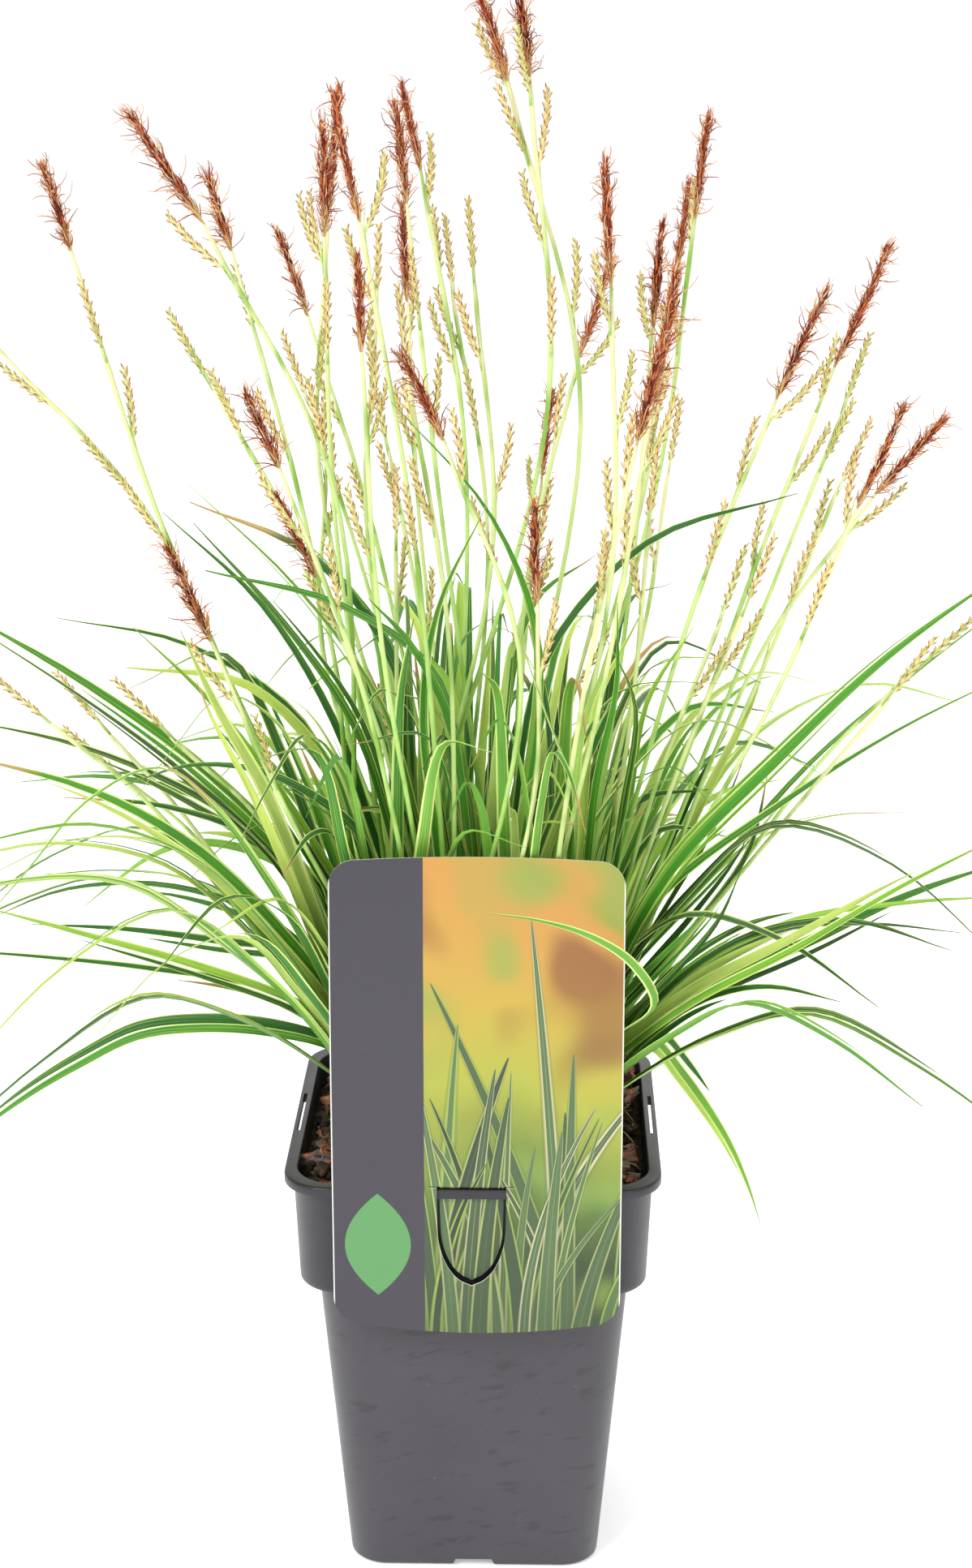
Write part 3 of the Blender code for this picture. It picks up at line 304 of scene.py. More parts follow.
# Blades: corners of a section, counter-clockwise about the blade's direction, as a share of the
# half width to the right and a share of the keel's depth downwards. The last three are on top.
BLADE_SECTION = ((1, 0.04), (0.52, 0.72), (0, 1.0), (-0.52, 0.72), (-1, 0.04),
                 (-0.5, 0.34), (0, 0.7), (0.5, 0.34))
BLADE_UNDER_SIDES = 4
BLADE_STEPS = 5
TIP_FROM = 0.9
TIP_POWER = 1.6
TIP_NARROWING = 0.55

# A blade broader than these becomes two or three, which part at these shares of the half width.
BLADE_SPLITS = (4.7 * MM, 6.9 * MM)
SPLIT_SHIFTS = ((), (), (0.0,), (-0.35, 0.35))
SPLIT_SPREAD = 0.35
STRIP_OVERLAP = 0.2
STRIP_REACH = (0.66, 0.97)
STRIP_TWIST = 0.5
STRIP_TIP = 0.04
WHOLE_STRIP = (-1.12, 1.12)
HOOKED_STRIP = (-0.6, 0.6)
HOOKED_TONE = 0.5
BROAD_TONE = 0.82

# A blade's looks: its pale margins' share of the half width, and its green by tone from 0 to 1.
BLADE_VALUES = ("across", "along", "tone", "margin", "dry", "seed")
MARGINS = (0.06, 0.4)
UPPER_TONES = ((0.0, (0.004, 0.065, 0.012)), (0.32, (0.008, 0.14, 0.014)), (0.5, (0.045, 0.28, 0.016)),
               (0.62, (0.24, 0.54, 0.035)), (0.76, (0.66, 0.80, 0.16)), (0.93, (0.02, 0.15, 0.07)),
               (1.0, (0.20, 0.22, 0.012)))
UNDER_TONES = ((0.0, (0.012, 0.13, 0.02)), (0.33, (0.035, 0.26, 0.03)), (0.56, (0.19, 0.46, 0.050)),
               (0.74, (0.54, 0.74, 0.16)), (1.0, (0.09, 0.25, 0.11)))
LEAF_CREASE = math.radians(50)

# Clasping leaf bases round a root: how many, and their height and half width in mm.
SHEATHS = 7
SHEATH_RISE = (18, 32)
SHEATH_WIDTH = (1.3, 2.0)

# The corners of a blade's last triangle have this many edges between them, fewer than any other's.
TIP_VALENCE = 12


class Nodes:
    """A node tree, with short calls that add and join its nodes."""

    def __init__(self, tree):
        self.tree = tree

    def feed(self, socket, value):
        if isinstance(value, bpy.types.NodeSocket):
            self.tree.links.new(value, socket)
        elif isinstance(value, tuple) and socket.type == "RGBA":
            socket.default_value = (*value, 1)
        else:
            socket.default_value = value

    def node(self, kind, inputs=(), **settings):
        made = self.tree.nodes.new(kind)
        for name, value in settings.items():
            setattr(made, name, value)
        for name, value in dict(inputs).items():
            self.feed(made.inputs[name], value)
        return made

    def place(self, kind="Object"):
        return self.node("ShaderNodeTexCoord").outputs[kind]

    def split(self, vector):
        return self.node("ShaderNodeSeparateXYZ", {"Vector": vector}).outputs

    def join(self, x, y, z):
        return self.node("ShaderNodeCombineXYZ", {"X": x, "Y": y, "Z": z}).outputs[0]

    def scaled(self, vector, factors):
        return self.node("ShaderNodeVectorMath", {0: vector, 1: factors}, operation="MULTIPLY").outputs[0]

    def math(self, operation, one, two=0.0):
        return self.node("ShaderNodeMath", {0: one, 1: two}, operation=operation).outputs[0]

    def plus(self, one, two):
        return self.math("ADD", one, two)

    def minus(self, one, two):
        return self.math("SUBTRACT", one, two)

    def times(self, one, two):
        return self.math("MULTIPLY", one, two)

    def over(self, one, two):
        return self.math("DIVIDE", one, two)

    def size(self, value):
        return self.math("ABSOLUTE", value)

    def step(self, value, low, high, most=1.0):
        """Rise smoothly from 0 at low to the most at high."""
        ends = {"Value": value, "From Min": low, "From Max": high, "To Max": most}
        return self.node("ShaderNodeMapRange", ends, interpolation_type="SMOOTHSTEP").outputs[0]

    def noise(self, vector, scale, detail=2.0, roughness=0.5, distortion=0.0):
        inputs = {"Vector": vector, "Scale": scale, "Detail": detail, "Roughness": roughness,
                  "Distortion": distortion}
        return self.node("ShaderNodeTexNoise", inputs).outputs["Fac"]


class Paint(Nodes):
    """A Principled material."""

    def __init__(self, name, roughness, specular):
        self.material = bpy.data.materials.new(name)
        self.material.use_nodes = True
        super().__init__(self.material.node_tree)
        self.shader = self.tree.nodes["Principled BSDF"]
        self.give("Roughness", roughness)
        self.give("Specular IOR Level", specular)

    def give(self, name, value):
        self.feed(self.shader.inputs[name], value)

    def colour(self, value):
        self.give("Base Color", value)

    def bump(self, height, distance, strength):
        inputs = {"Height": height, "Distance": distance, "Strength": strength}
        self.give("Normal", self.node("ShaderNodeBump", inputs).outputs[0])

    def attributes(self, *names):
        """The values that the shape has at its points, in the order of their names."""
        return [self.node("ShaderNodeAttribute", attribute_name=name).outputs["Fac"] for name in names]

    def mix(self, factor, one, two):
        return self.node("ShaderNodeMix", {0: factor, 6: one, 7: two}, data_type="RGBA").outputs[2]

    def ramp(self, factor, *stops):
        made = self.node("ShaderNodeValToRGB", {"Fac": factor})
        elements = made.color_ramp.elements
        while len(elements) < len(stops):
            elements.new(0.5)
        for element, (position, colour) in zip(elements, stops):
            element.position = position
            element.color = (*colour, 1)
        return made.outputs["Color"]


class Shape:
    """Points, faces and values at points, gathered into one piece."""

    def __init__(self, name, *values):
        self.name = name
        self.points = []
        self.faces = []
        self.slots = []
        self.values = {value: [] for value in values}

    def add(self, points, faces, slots=0, **values):
        start = len(self.points)
        self.points += [tuple(point) for point in points]
        self.faces += [tuple(start + corner for corner in face) for face in faces]
        self.slots += slots if isinstance(slots, list) else [slots] * len(faces)
        for name, column in self.values.items():
            value = values.get(name, 0.0)
            column += value if isinstance(value, list) else [value] * len(points)

    def build(self, paints, nodes=(), sharp=None):
        """Make the object, which rides on the root and stands for the given nodes."""
        mesh = bpy.data.meshes.new(self.name)
        mesh.from_pydata(self.points, [], self.faces)
        mesh.polygons.foreach_set("material_index", self.slots)
        for name, column in self.values.items():
            mesh.attributes.new(name, "FLOAT", "POINT").data.foreach_set("value", column)
        mesh.shade_smooth()
        if sharp is not None:
            mesh.set_sharp_from_angle(angle=sharp)
        return enlist(placed(mesh, *paints), nodes)


def placed(data, *paints):
    """A new object in the scene for a mesh or other data, with its materials."""
    for paint in paints:
        data.materials.append(paint.material)
    thing = bpy.data.objects.new(data.name, data)
    bpy.context.scene.collection.objects.link(thing)
    return thing


def enlist(thing, nodes=()):
    """Let a piece ride on the root and stand for nodes."""
    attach(thing, "root")
    if nodes:
        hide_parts(*nodes)
    return thing


def into_mesh(bm, name):
    """A new mesh made of a bmesh, which is freed."""
    mesh = bpy.data.meshes.new(name)
    bm.to_mesh(mesh)
    bm.free()
    return mesh


def parts_of(bm):
    """The points and faces of a bmesh, which is freed."""
    bm.verts.index_update()
    points = [vert.co.copy() for vert in bm.verts]
    faces = [tuple(vert.index for vert in face.verts) for face in bm.faces]
    bm.free()
    return points, faces


def bake(thing):
    """Put an object's modifiers into its mesh."""
    graph = bpy.context.evaluated_depsgraph_get()
    mesh = bpy.data.meshes.new_from_object(thing.evaluated_get(graph))
    thing.modifiers.clear()
    thing.data = mesh


def skin(rows, count):
    """Faces over rows of points that run round counter-clockwise, with a cap at each end."""
    faces = []
    for low in range(0, (rows - 1) * count, count):
        for index in range(count):
            after = (index + 1) % count
            faces.append((low + index, low + after, low + count + after, low + count + index))
    return faces + [tuple(reversed(range(count))), tuple(range((rows - 1) * count, rows * count))]


def through(points, steps):
    """Points along a smooth curve through the given ones, with so many steps between two of them."""
    ends = [points[0] * 2 - points[1]] + list(points) + [points[-1] * 2 - points[-2]]
    fine = [points[0]]
    for before, start, stop, after in zip(ends, ends[1:], ends[2:], ends[3:]):
        for step in range(1, steps + 1):
            t = step / steps
            fine.append(0.5 * (2 * start + (stop - before) * t
                               + (2 * before - 5 * start + 4 * stop - after) * t * t
                               + (3 * start - before - 3 * stop + after) * t * t * t))
    return fine


def smooth_route(points, count):
    """Evenly spaced stations on a smooth curve through the points."""
    fine = through(points, CURVE_STEPS)
    lengths = [0.0]
    for one, two in zip(fine, fine[1:]):
        lengths.append(lengths[-1] + (two - one).length)
    stations = []
    index = 0
    for step in range(count + 1):
        goal = lengths[-1] * step / count
        while index < len(fine) - 2 and lengths[index + 1] < goal:
            index += 1
        share = (goal - lengths[index]) / (lengths[index + 1] - lengths[index])
        stations.append(fine[index].lerp(fine[index + 1], share))
    return stations


def tangents(stations):
    """Directions along a route at its stations."""
    found = []
    for index in range(len(stations)):
        before = stations[max(0, index - 1)]
        after = stations[min(len(stations) - 1, index + 1)]
        found.append((after - before).normalized())
    return found


def turned(vector, axis, angle):
    """A vector turned about an axis."""
    return Matrix.Rotation(angle, 3, axis) @ vector


def ring(place, along, side, wide, deep, count):
    """Points round a place: wide to the side, deep across it."""
    other = along.cross(side)
    return [place + side * (wide * math.cos(math.tau * k / count))
            + other * (deep * math.sin(math.tau * k / count)) for k in range(count)]


def tube(shape, stations, radii, count, hint=SIDE_HINT, flat=1.0, slots=0, **values):
    """Skin a round or flattened tube along stations. Values given as lists go station by station."""
    points = []
    directions = tangents(stations)
    side = directions[0].cross(hint).normalized()
    before = directions[0]
    for place, along, radius in zip(stations, directions, radii):
        side = (before.rotation_difference(along) @ side).normalized()
        before = along
        points += ring(place, along, side, radius, radius * flat, count)
    spread = {name: [item for item in value for _ in range(count)] if isinstance(value, list) else value
              for name, value in values.items()}
    shape.add(points, skin(len(stations), count), slots, **spread)


def seen(x, z, depth):
    """A place seen at x, z in the plane Y = 0, in mm, slid along the sight line to its depth."""
    mark = Vector((x * MM, 0, z * MM))
    share = (depth * MM - CAMERA_PLACE.y) / (mark.y - CAMERA_PLACE.y)
    return CAMERA_PLACE + (mark - CAMERA_PLACE) * share


def root_spots():
    """Middles of the roots, on a spiral from the crown's middle outwards."""
    spots = []
    for index in range(SPOT_COUNT):
        reach = SPOT_SPREAD * math.sqrt(index + 0.5)
        angle = index * GOLDEN_ANGLE
        spots.append(Vector((reach * math.cos(angle), reach * math.sin(angle), 0)))
    return spots


def soil_height(x, y):
    """Height of the soil's top in the part: a low mound with rough relief."""
    away = min(1.0, math.hypot(x, y) / SOIL_MOUND_HALF)
    mound = SOIL_CROWN_Z + (SOIL_EDGE_Z - SOIL_CROWN_Z) * away
    return mound + SOIL_RELIEF * noise.noise(Vector((x, y, 0)) * SOIL_NOISE_SCALE)


# Leaves


def blade_sections(node, spot):
    """The blades of a leaf tuft's node, each as its sections' three corners from neck to tip."""
    bm = bmesh.new()
    bm.from_mesh(node.data)
    bmesh.ops.remove_doubles(bm, verts=bm.verts[:], dist=0.002 * MM)
    post = [vert for vert in bm.verts
            if vert.co.z < NECK_Z - 0.5 * MM and (vert.co.xy - spot.xy).length < TUFT_RADIUS * 1.1]
    bmesh.ops.delete(bm, geom=post, context="VERTS")
    tips = [face for face in bm.faces if sum(len(vert.link_edges) for vert in face.verts) <= TIP_VALENCE]
    blades = []
    for tip in tips:
        level = list(tip.verts)
        met = set(level)
        sections = []
        while len(level) == 3:
            sections.append([vert.co.copy() for vert in level])
            near = {edge.other_vert(vert) for vert in level for edge in vert.link_edges} - met
            met |= near
            level = sorted(near, key=lambda vert: tuple(vert.co))
        sections.reverse()
        if sections[0][0].z > NECK_Z + 2 * MM:
            sections.insert(0, neck_section(sections[0], spot))
        blades.append(ordered(sections))
    bm.free()
    return sorted(blades, key=lambda blade: tuple(blade[-1][0]))


def neck_section(section, spot):
    """A narrow section at the root for a blade that meets another one there."""
    middle = sum(section, Vector()) / 3
    away = Vector((middle.x - spot.x, middle.y - spot.y, 0)).normalized() * TUFT_RADIUS / 2
    neck = Vector((spot.x, spot.y, NECK_Z)) + away
    return [neck + (corner - middle) / 2 for corner in section]


def ordered(sections):
    """Each section as its left, right and keel corner. The keel faces the broadest side."""
    middles = [(a + b + c) / 3 for a, b, c in sections]
    directions = tangents(middles)

    def broad(section):
        return max((one - two).length for one in section for two in section)

    widest = max(range(len(sections)), key=lambda index: broad(sections[index]))
    keels = {}
    first = sections[widest]
    keels[widest] = min(first, key=lambda corner: abs(sum((corner - other).length for other in first)))
    for step in (1, -1):
        index = widest
        while 0 <= index + step < len(sections):
            offset = keels[index] - middles[index]
            offset = directions[index].rotation_difference(directions[index + step]) @ offset
            index += step
            keels[index] = max(sections[index],
                               key=lambda corner: (corner - middles[index]).normalized().dot(offset))
    found = []
    for index, section in enumerate(sections):
        keel = keels[index]
        one, two = [corner for corner in section if corner is not keel]
        across = directions[index].cross((one + two) / 2 - keel)
        left, right = (one, two) if (two - one).dot(across) > 0 else (two, one)
        found.append((left, right, keel))
    return found


def add_leaf(shape, sections, draw):
    """The part's blade as one fine blade, or as two or three that lie over one another if it is broad."""
    down = Vector((0, 0, FOOT_Z - sections[0][0].z))
    sections = [tuple(corner + down * share for corner in sections[0]) for share in (1, 0.5)] + sections
    rows = [through(corners, BLADE_STEPS) for corners in zip(*sections)]
    width = max((right - left).length for left, right in zip(*rows[:2]))
    tip = rows[0][-1]
    if tip.y < LABEL_Y - 4 * MM and abs(tip.x) < LABEL_RIGHT:
        add_blade(shape, rows, draw, HOOKED_STRIP, 1.0, 0.0, HOOKED_TONE)
        return
    count = sum(width > limit for limit in BLADE_SPLITS) + 1
    if count == 1:
        add_blade(shape, rows, draw, WHOLE_STRIP, 1.0, 0.0, draw.random())
        return
    inner_cuts = sorted(draw.uniform(-SPLIT_SPREAD, SPLIT_SPREAD) + shift for shift in SPLIT_SHIFTS[count])
    cuts = [-1.0] + inner_cuts + [1.0]
    longest = draw.randrange(count)
    for index, (low, high) in enumerate(zip(cuts, cuts[1:])):
        strip = (max(-1.0, low - STRIP_OVERLAP), min(1.0, high + STRIP_OVERLAP))
        reach = 1.0 if index == longest else draw.uniform(*STRIP_REACH)
        twist = 0.0 if index == longest else draw.uniform(-STRIP_TWIST, STRIP_TWIST)
        add_blade(shape, rows, draw, strip, reach, twist, draw.random() * BROAD_TONE)


def add_blade(shape, rows, draw, strip, reach, twist, tone):
    """A fine keeled blade over a strip of the rows' width and a reach of their length."""
    last = len(rows[0]) - 1
    shift = (strip[0] + strip[1]) / 2
    scale = (strip[1] - strip[0]) / 2
    points = []
    along = []
    for index in range(last + 1):
        share = index / last
        spot = share * reach * last
        low = min(int(spot), last - 1)
        left, right, keel = (row[low].lerp(row[low + 1], spot - low) for row in rows)
        point_in = scale * (1 - max(0.0, (share - TIP_FROM) / (1 - TIP_FROM)) ** TIP_POWER * TIP_NARROWING)
        if reach < 1:
            point_in *= math.sqrt(max(0.0, 1 - share ** 4)) * (1 - STRIP_TIP) + STRIP_TIP
        middle = (left + right) / 2
        half = (right - left) / 2
        drop = keel - middle
        middle = middle + half * shift * (1 + 0.8 * share) - drop * 0.5 * abs(twist)
        turn = Matrix.Rotation(twist * (0.3 + share), 3, half.cross(drop))
        points += [middle + turn @ (half * across + drop * deep) * point_in for across, deep in BLADE_SECTION]
        along += [share] * len(BLADE_SECTION)
    count = len(BLADE_SECTION)
    slots = [int(face % count < BLADE_UNDER_SIDES) for face in range(last * count)] + [0, 0]
    shape.add(points, skin(last + 1, count), slots, along=along,
              across=[across for _ in range(last + 1) for across, _ in BLADE_SECTION],
              tone=tone, margin=draw.uniform(*MARGINS), dry=max(0.0, draw.gauss(-0.01, 0.07)),
              seed=draw.random())


def leaf_paint(name, tones):
    """Green along the middle, with pale margins and stripes, and a dry tip on some leaves."""
    paint = Paint(name, 0.42, 0.45)
    across, along, tone, margin, dry, seed = paint.attributes(*BLADE_VALUES)
    seed = paint.times(seed, 37.0)
    lengthwise = paint.join(across, paint.times(along, 0.35), seed)
    stripes = paint.noise(lengthwise, 3.2, 1.0)
    veins = paint.noise(lengthwise, 26.0)
    patches = paint.noise(paint.join(paint.times(across, 0.4), paint.times(along, 5), seed), 2.0)
    green = paint.ramp(tone, *tones)
    lighter = paint.mix(0.6, green, (0.54, 0.76, 0.11))
    body = paint.mix(paint.step(stripes, 0.55, 0.62, 0.6), green, lighter)
    body = paint.mix(paint.step(veins, 0.45, 0.7, 0.22), body, lighter)
    body = paint.mix(paint.step(patches, 0.4, 0.75, 0.3), body, (0.012, 0.085, 0.018))
    inner = paint.minus(1.0, margin)
    rim = paint.step(paint.size(across), inner, paint.plus(inner, 0.1), 0.92)
    pale = paint.mix(stripes, (0.56, 0.76, 0.10), (0.90, 0.93, 0.42))
    body = paint.mix(rim, body, pale)
    body = paint.mix(paint.step(along, 0.16, 0.02, 0.65), body, (0.40, 0.50, 0.12))
    start = paint.minus(1.0, dry)
    withered = paint.plus(along, paint.times(paint.minus(veins, 0.5), 0.06))
    tip = paint.step(withered, start, paint.plus(start, 0.035))
    straw = paint.mix(patches, (0.42, 0.24, 0.07), (0.62, 0.46, 0.16))
    paint.colour(paint.mix(tip, body, straw))
    paint.give("Roughness", paint.ramp(veins, (0.3, (0.36, 0.36, 0.36)), (0.8, (0.55, 0.55, 0.55))))
    paint.bump(veins, 0.25 * MM, 0.5)
    return paint


def make_leaves(spots):
    """One piece of fine blades for each leaf tuft."""
    paints = [leaf_paint("leaf_upper", UPPER_TONES), leaf_paint("leaf_under", UNDER_TONES)]
    for index in TUFT_SPOTS:
        node = f"leaf_tuft_{index // 2 + 1:02d}"
        draw = random.Random(node)
        shape = Shape(f"{node}_blades", *BLADE_VALUES)
        for sections in blade_sections(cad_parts[node], spots[index]):
            add_leaf(shape, sections, draw)
        add_sheaths(shape, spots[index], draw)
        shape.build(paints, [node], LEAF_CREASE)


def add_sheaths(shape, spot, draw):
    """Short clasping leaf bases round a tuft's root."""
    for index in range(SHEATHS):
        out = turned(Vector((1, 0, 0)), UP, index * GOLDEN_ANGLE)
        foot = Vector((spot.x, spot.y, FOOT_Z)) + out * TUFT_RADIUS * 0.5
        rise = draw.uniform(*SHEATH_RISE) * MM
        stations = [foot + UP * rise * share + out * TUFT_RADIUS * 0.35 * share * share
                    for share in (0, 0.3, 0.55, 0.8, 1)]
        width = draw.uniform(*SHEATH_WIDTH) * MM
        tube(shape, stations, [width, width, width * 0.85, width * 0.55, 0.15 * MM], 8, out, 0.35,
             along=[0.0, 0.03, 0.06, 0.1, 0.15], across=0.2, tone=draw.uniform(0.6, 0.85), margin=0.05,
             dry=0.0, seed=draw.random())


# Flowering stems


def spike_rings(foot, tip, radius, scales):
    """The part's plain male spike: stacked cups of scales."""
    along = (tip - foot).normalized()
    side = along.cross(SIDE_HINT).normalized()
    rings = []
    thin_foot, thin_tip = SPIKE_BELLY
    count = 2 * scales
    for index in range(count + 1):
        share = index / count
        belly = math.sin(math.pi * (thin_foot + (thin_tip - thin_foot) * share)) ** SPIKE_BELLY_POWER
        size = radius * belly * (SPIKE_WAIST if index % 2 == 0 else 1.0)
        start = index * math.pi / 3
        rings.append([foot.lerp(tip, share) + turned(side, along, start + corner * math.tau / 3) * size
                      for corner in range(3)])
    return rings


def stem_route(foot, top, lean):
    """Route of a flowering stem, rising steeply and then leaning as its spike does."""
    away = top - foot
    neck = foot + Vector((away.x * 0.01, away.y * 0.01, NECK_Z - foot.z))
    low = foot + Vector((away.x * 0.1, away.y * 0.1, away.z * 0.28))
    high = (top - lean * away.z * 0.3).lerp(foot + away * 0.68, 0.35)
    return (foot, neck, low, high, top)


def nudges(count, step):
    """Offsets that grow outwards, to both sides in turn: 0, 1, -1, 2, -2 and so on."""
    return [step * ((index + 1) // 2) * (1 if index % 2 else -1) for index in range(count)]


def station_below_top(stations, distance):
    """The place and direction at a distance down from a route's end."""
    for low, high in zip(reversed(stations[:-1]), reversed(stations)):
        step = (high - low).length
        if distance <= step:
            return high.lerp(low, distance / step), (high - low).normalized()
        distance -= step
    return stations[0], (stations[1] - stations[0]).normalized()


def stem_homes(spots):
    """The rows of STEMS that grow from each root spot for stems, as the part gives them out."""
    share = math.ceil(len(STEMS) / len(STEM_SPOTS))
    bunches = {home: [] for home in STEM_SPOTS}
    for row in sorted(STEMS, key=lambda entry: -math.hypot(entry[2], entry[4])):
        aim = Vector((row[2], row[4], 0)) * MM * STEM_AIM
        free = [home for home in STEM_SPOTS if len(bunches[home]) < share]
        bunches[min(free, key=lambda index: (spots[index] - aim).length)].append(row)
    return bunches


def stem_in_frame(row, boxes):
    """The depth, turn and node at which a row's male spike stands in the frame."""
    tip_x, tip_z, foot_x, foot_z, depth, _ = row
    for nudge, turn in zip(nudges(STEM_TRIES, STEM_DEPTH_STEP), nudges(STEM_TRIES, STEM_TURN_STEP)):
        tip = seen(tip_x, tip_z, depth + nudge)
        top = seen(foot_x, foot_z, depth + nudge)
        lean = (tip - top).normalized()
        rings = spike_rings(top + lean * MALE_GAP, tip, MALE_RADIUS, MALE_SCALES)
        corners = [corner for one in rings for corner in one]
        low = Vector(map(min, zip(*corners)))
        high = Vector(map(max, zip(*corners)))
        for node, (node_low, node_high) in boxes.items():
            if (low - node_low).length < MATCH and (high - node_high).length < MATCH:
                return top, tip, lean, depth, turn, node
    raise ValueError(f"no male spike of the frame fits the row {row}")


def make_stems(spots):
    """The flowering stems of each bunch, their female spikes, and each male spike."""
    stem = stem_paint()
    straw = utricle_paint()
    florets = [scale_paint(), filament_paint()]
    boxes = {node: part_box(node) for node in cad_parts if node.startswith("male_spike")}
    for home, rows in stem_homes(spots).items():
        node = f"stem_bunch_{home // 2 + 1:02d}"
        draw = random.Random(node)
        culms = Shape(f"{node}_culms", "along", "tone")
        ears = Shape(f"{node}_female_spikes", "along", "tone")
        root = Vector((spots[home].x, spots[home].y, FOOT_Z))
        for row in rows:
            top, tip, lean, depth, turn, male_node = stem_in_frame(row, boxes)
            away = Vector((top.x - root.x, top.y - root.y, 0)).normalized()
            foot = root + turned(away, UP, turn) * STEM_RADIUS * STEM_FOOT_SHARE
            add_stem(culms, ears, stem_route(foot, top, lean), row[5], depth + turn, draw)
            if top.z > COMPANION_FROM_Z and top.y > COMPANION_FROM_Y:
                for _ in range(draw.choice(COMPANIONS)):
                    add_companion(culms, ears, foot, top, lean, draw)
            make_male(male_node, top, tip, florets)
        for foot_x, foot_z, tip_x, tip_z, depth in LOW_SPIKES:
            top = seen(foot_x, foot_z, depth)
            if home == min(STEM_SPOTS, key=lambda index: (spots[index] - top * STEM_AIM).xy.length):
                lean = (seen(tip_x, tip_z, depth) - top).normalized()
                add_stem(culms, ears, stem_route(root, top, lean), [0], depth, draw)
        culms.build([stem], [node])
        ears.build([straw])


def add_companion(culms, ears, foot, top, lean, draw):
    """A shorter stem beside a flowering one, with a female spike at its end and others below."""
    beside = Vector((draw.uniform(-15, 15), draw.uniform(-10, 10), 0)) * MM
    end = foot.lerp(top, draw.uniform(*COMPANION_REACH)) + beside
    root = foot + Vector((draw.uniform(-2, 2), draw.uniform(-2, 2), 0)) * MM
    females = [0] + [draw.uniform(*span) for span in COMPANION_SPIKES][:draw.choice((1, 2))]
    add_stem(culms, ears, stem_route(root, end, lean), females, None, draw)


def add_stem(culms, ears, route, females, phase, draw):
    """A culm along a route, and female spikes at their distances below its end."""
    add_culm(culms, route, females, draw)
    if phase is None:
        phase = draw.uniform(0, math.tau)
    fine = smooth_route(route, STEM_STEPS * CURVE_STEPS)
    for index, distance in enumerate(females):
        at, along = station_below_top(fine, distance * MM)
        side = along.cross(turned(Vector((0, 1, 0)), along, index * FEMALE_TURN + phase)).normalized()
        near_end = max(0.0, 1 - distance * MM / FEMALE_LENGTH)
        lean_out = FEMALE_LEAN * (1 + near_end) if distance else END_LEAN
        add_female(culms, ears, at, along, along * math.cos(lean_out) + side * math.sin(lean_out), draw)


def add_culm(shape, route, females, draw):
    """A slender stem with a sheath that ends at each female spike."""
    stations = smooth_route(route, CULM_STEPS)
    length = sum((two - one).length for one, two in zip(stations, stations[1:]))
    shares = [index / CULM_STEPS for index in range(CULM_STEPS + 1)]
    radii = []
    for share in shares:
        radius = CULM_FOOT_RADIUS + (CULM_TOP_RADIUS - CULM_FOOT_RADIUS) * share
        for distance in females:
            into = ((1 - share) * length - distance * MM) / SHEATH_LENGTH
            if 0 <= into < 1:
                radius += SHEATH_THICKNESS * (1 - into)
        radii.append(radius)
    radii[-1] = CULM_END_RADIUS
    tube(shape, stations, radii, CULM_SIDES, along=shares, tone=draw.random())


def add_female(culms, ears, at, along, heading, draw):
    """A female spike on a thin stalk beside its bract: pointed utricles in rows up a bent axis."""
    tone = draw.random()
    neck = at + heading * FEMALE_NECK
    axis = []
    for step in range(EAR_STEPS + 1):
        share = step / EAR_STEPS
        straighten = EAR_BEND * share * share / 2
        axis.append(neck + (heading * (share - straighten) + along * straighten) * FEMALE_LENGTH)
    headings = tangents(axis)
    stalk_radii = [radius * MM for radius in STALK_RADII]
    tube(culms, [at, neck] + axis[2::5], stalk_radii, 5, along=0.9, tone=tone)
    side = along.cross(heading).normalized()
    out = side.cross(along).normalized()
    reach = draw.uniform(*BRACT_REACH) * MM
    bract = [at - along * 2 * MM + out * 0.5 * MM, at + along * reach * 0.35 + out * 1.1 * MM,
             at + along * reach * 0.7 + out * 2.2 * MM, at + along * reach + out * reach * 0.16]
    bract_radii = [radius * MM for radius in BRACT_RADII]
    tube(culms, bract, bract_radii, 5, out, 0.4, along=[0.5, 0.8, 1.0, 1.1], tone=tone)
    for index in range(EAR_UTRICLES):
        share = (index + 0.3) / EAR_UTRICLES
        low = int(share * EAR_STEPS)
        place = axis[low].lerp(axis[low + 1], share * EAR_STEPS - low)
        direction = headings[low]
        outward = turned(direction.cross(out).cross(direction).normalized(), direction,
                         index * EAR_TURN + draw.gauss(0, 0.1))
        belly = math.sin(math.pi * (0.2 + 0.66 * share)) ** 0.4
        lean = (direction + outward * draw.uniform(*UTRICLE_LEANS)).normalized()
        size = belly * draw.uniform(*UTRICLE_SIZES)
        add_utricle(ears, place + outward * 0.15 * MM, lean, outward, size, tone)


def add_sliver(shape, place, run, side, lift, rows, corners, **values):
    """A small closed form along a run. Rows give the share of the run, width, depth, lift and along."""
    heading = run.normalized()
    points = []
    for share, wide, deep, rise, _ in rows:
        points += ring(place + run * share + lift * rise * MM, heading, side, wide * MM, deep * MM, corners)
    along = [row[4] for row in rows for _ in range(corners)]
    shape.add(points, skin(len(rows), corners), along=along, **values)


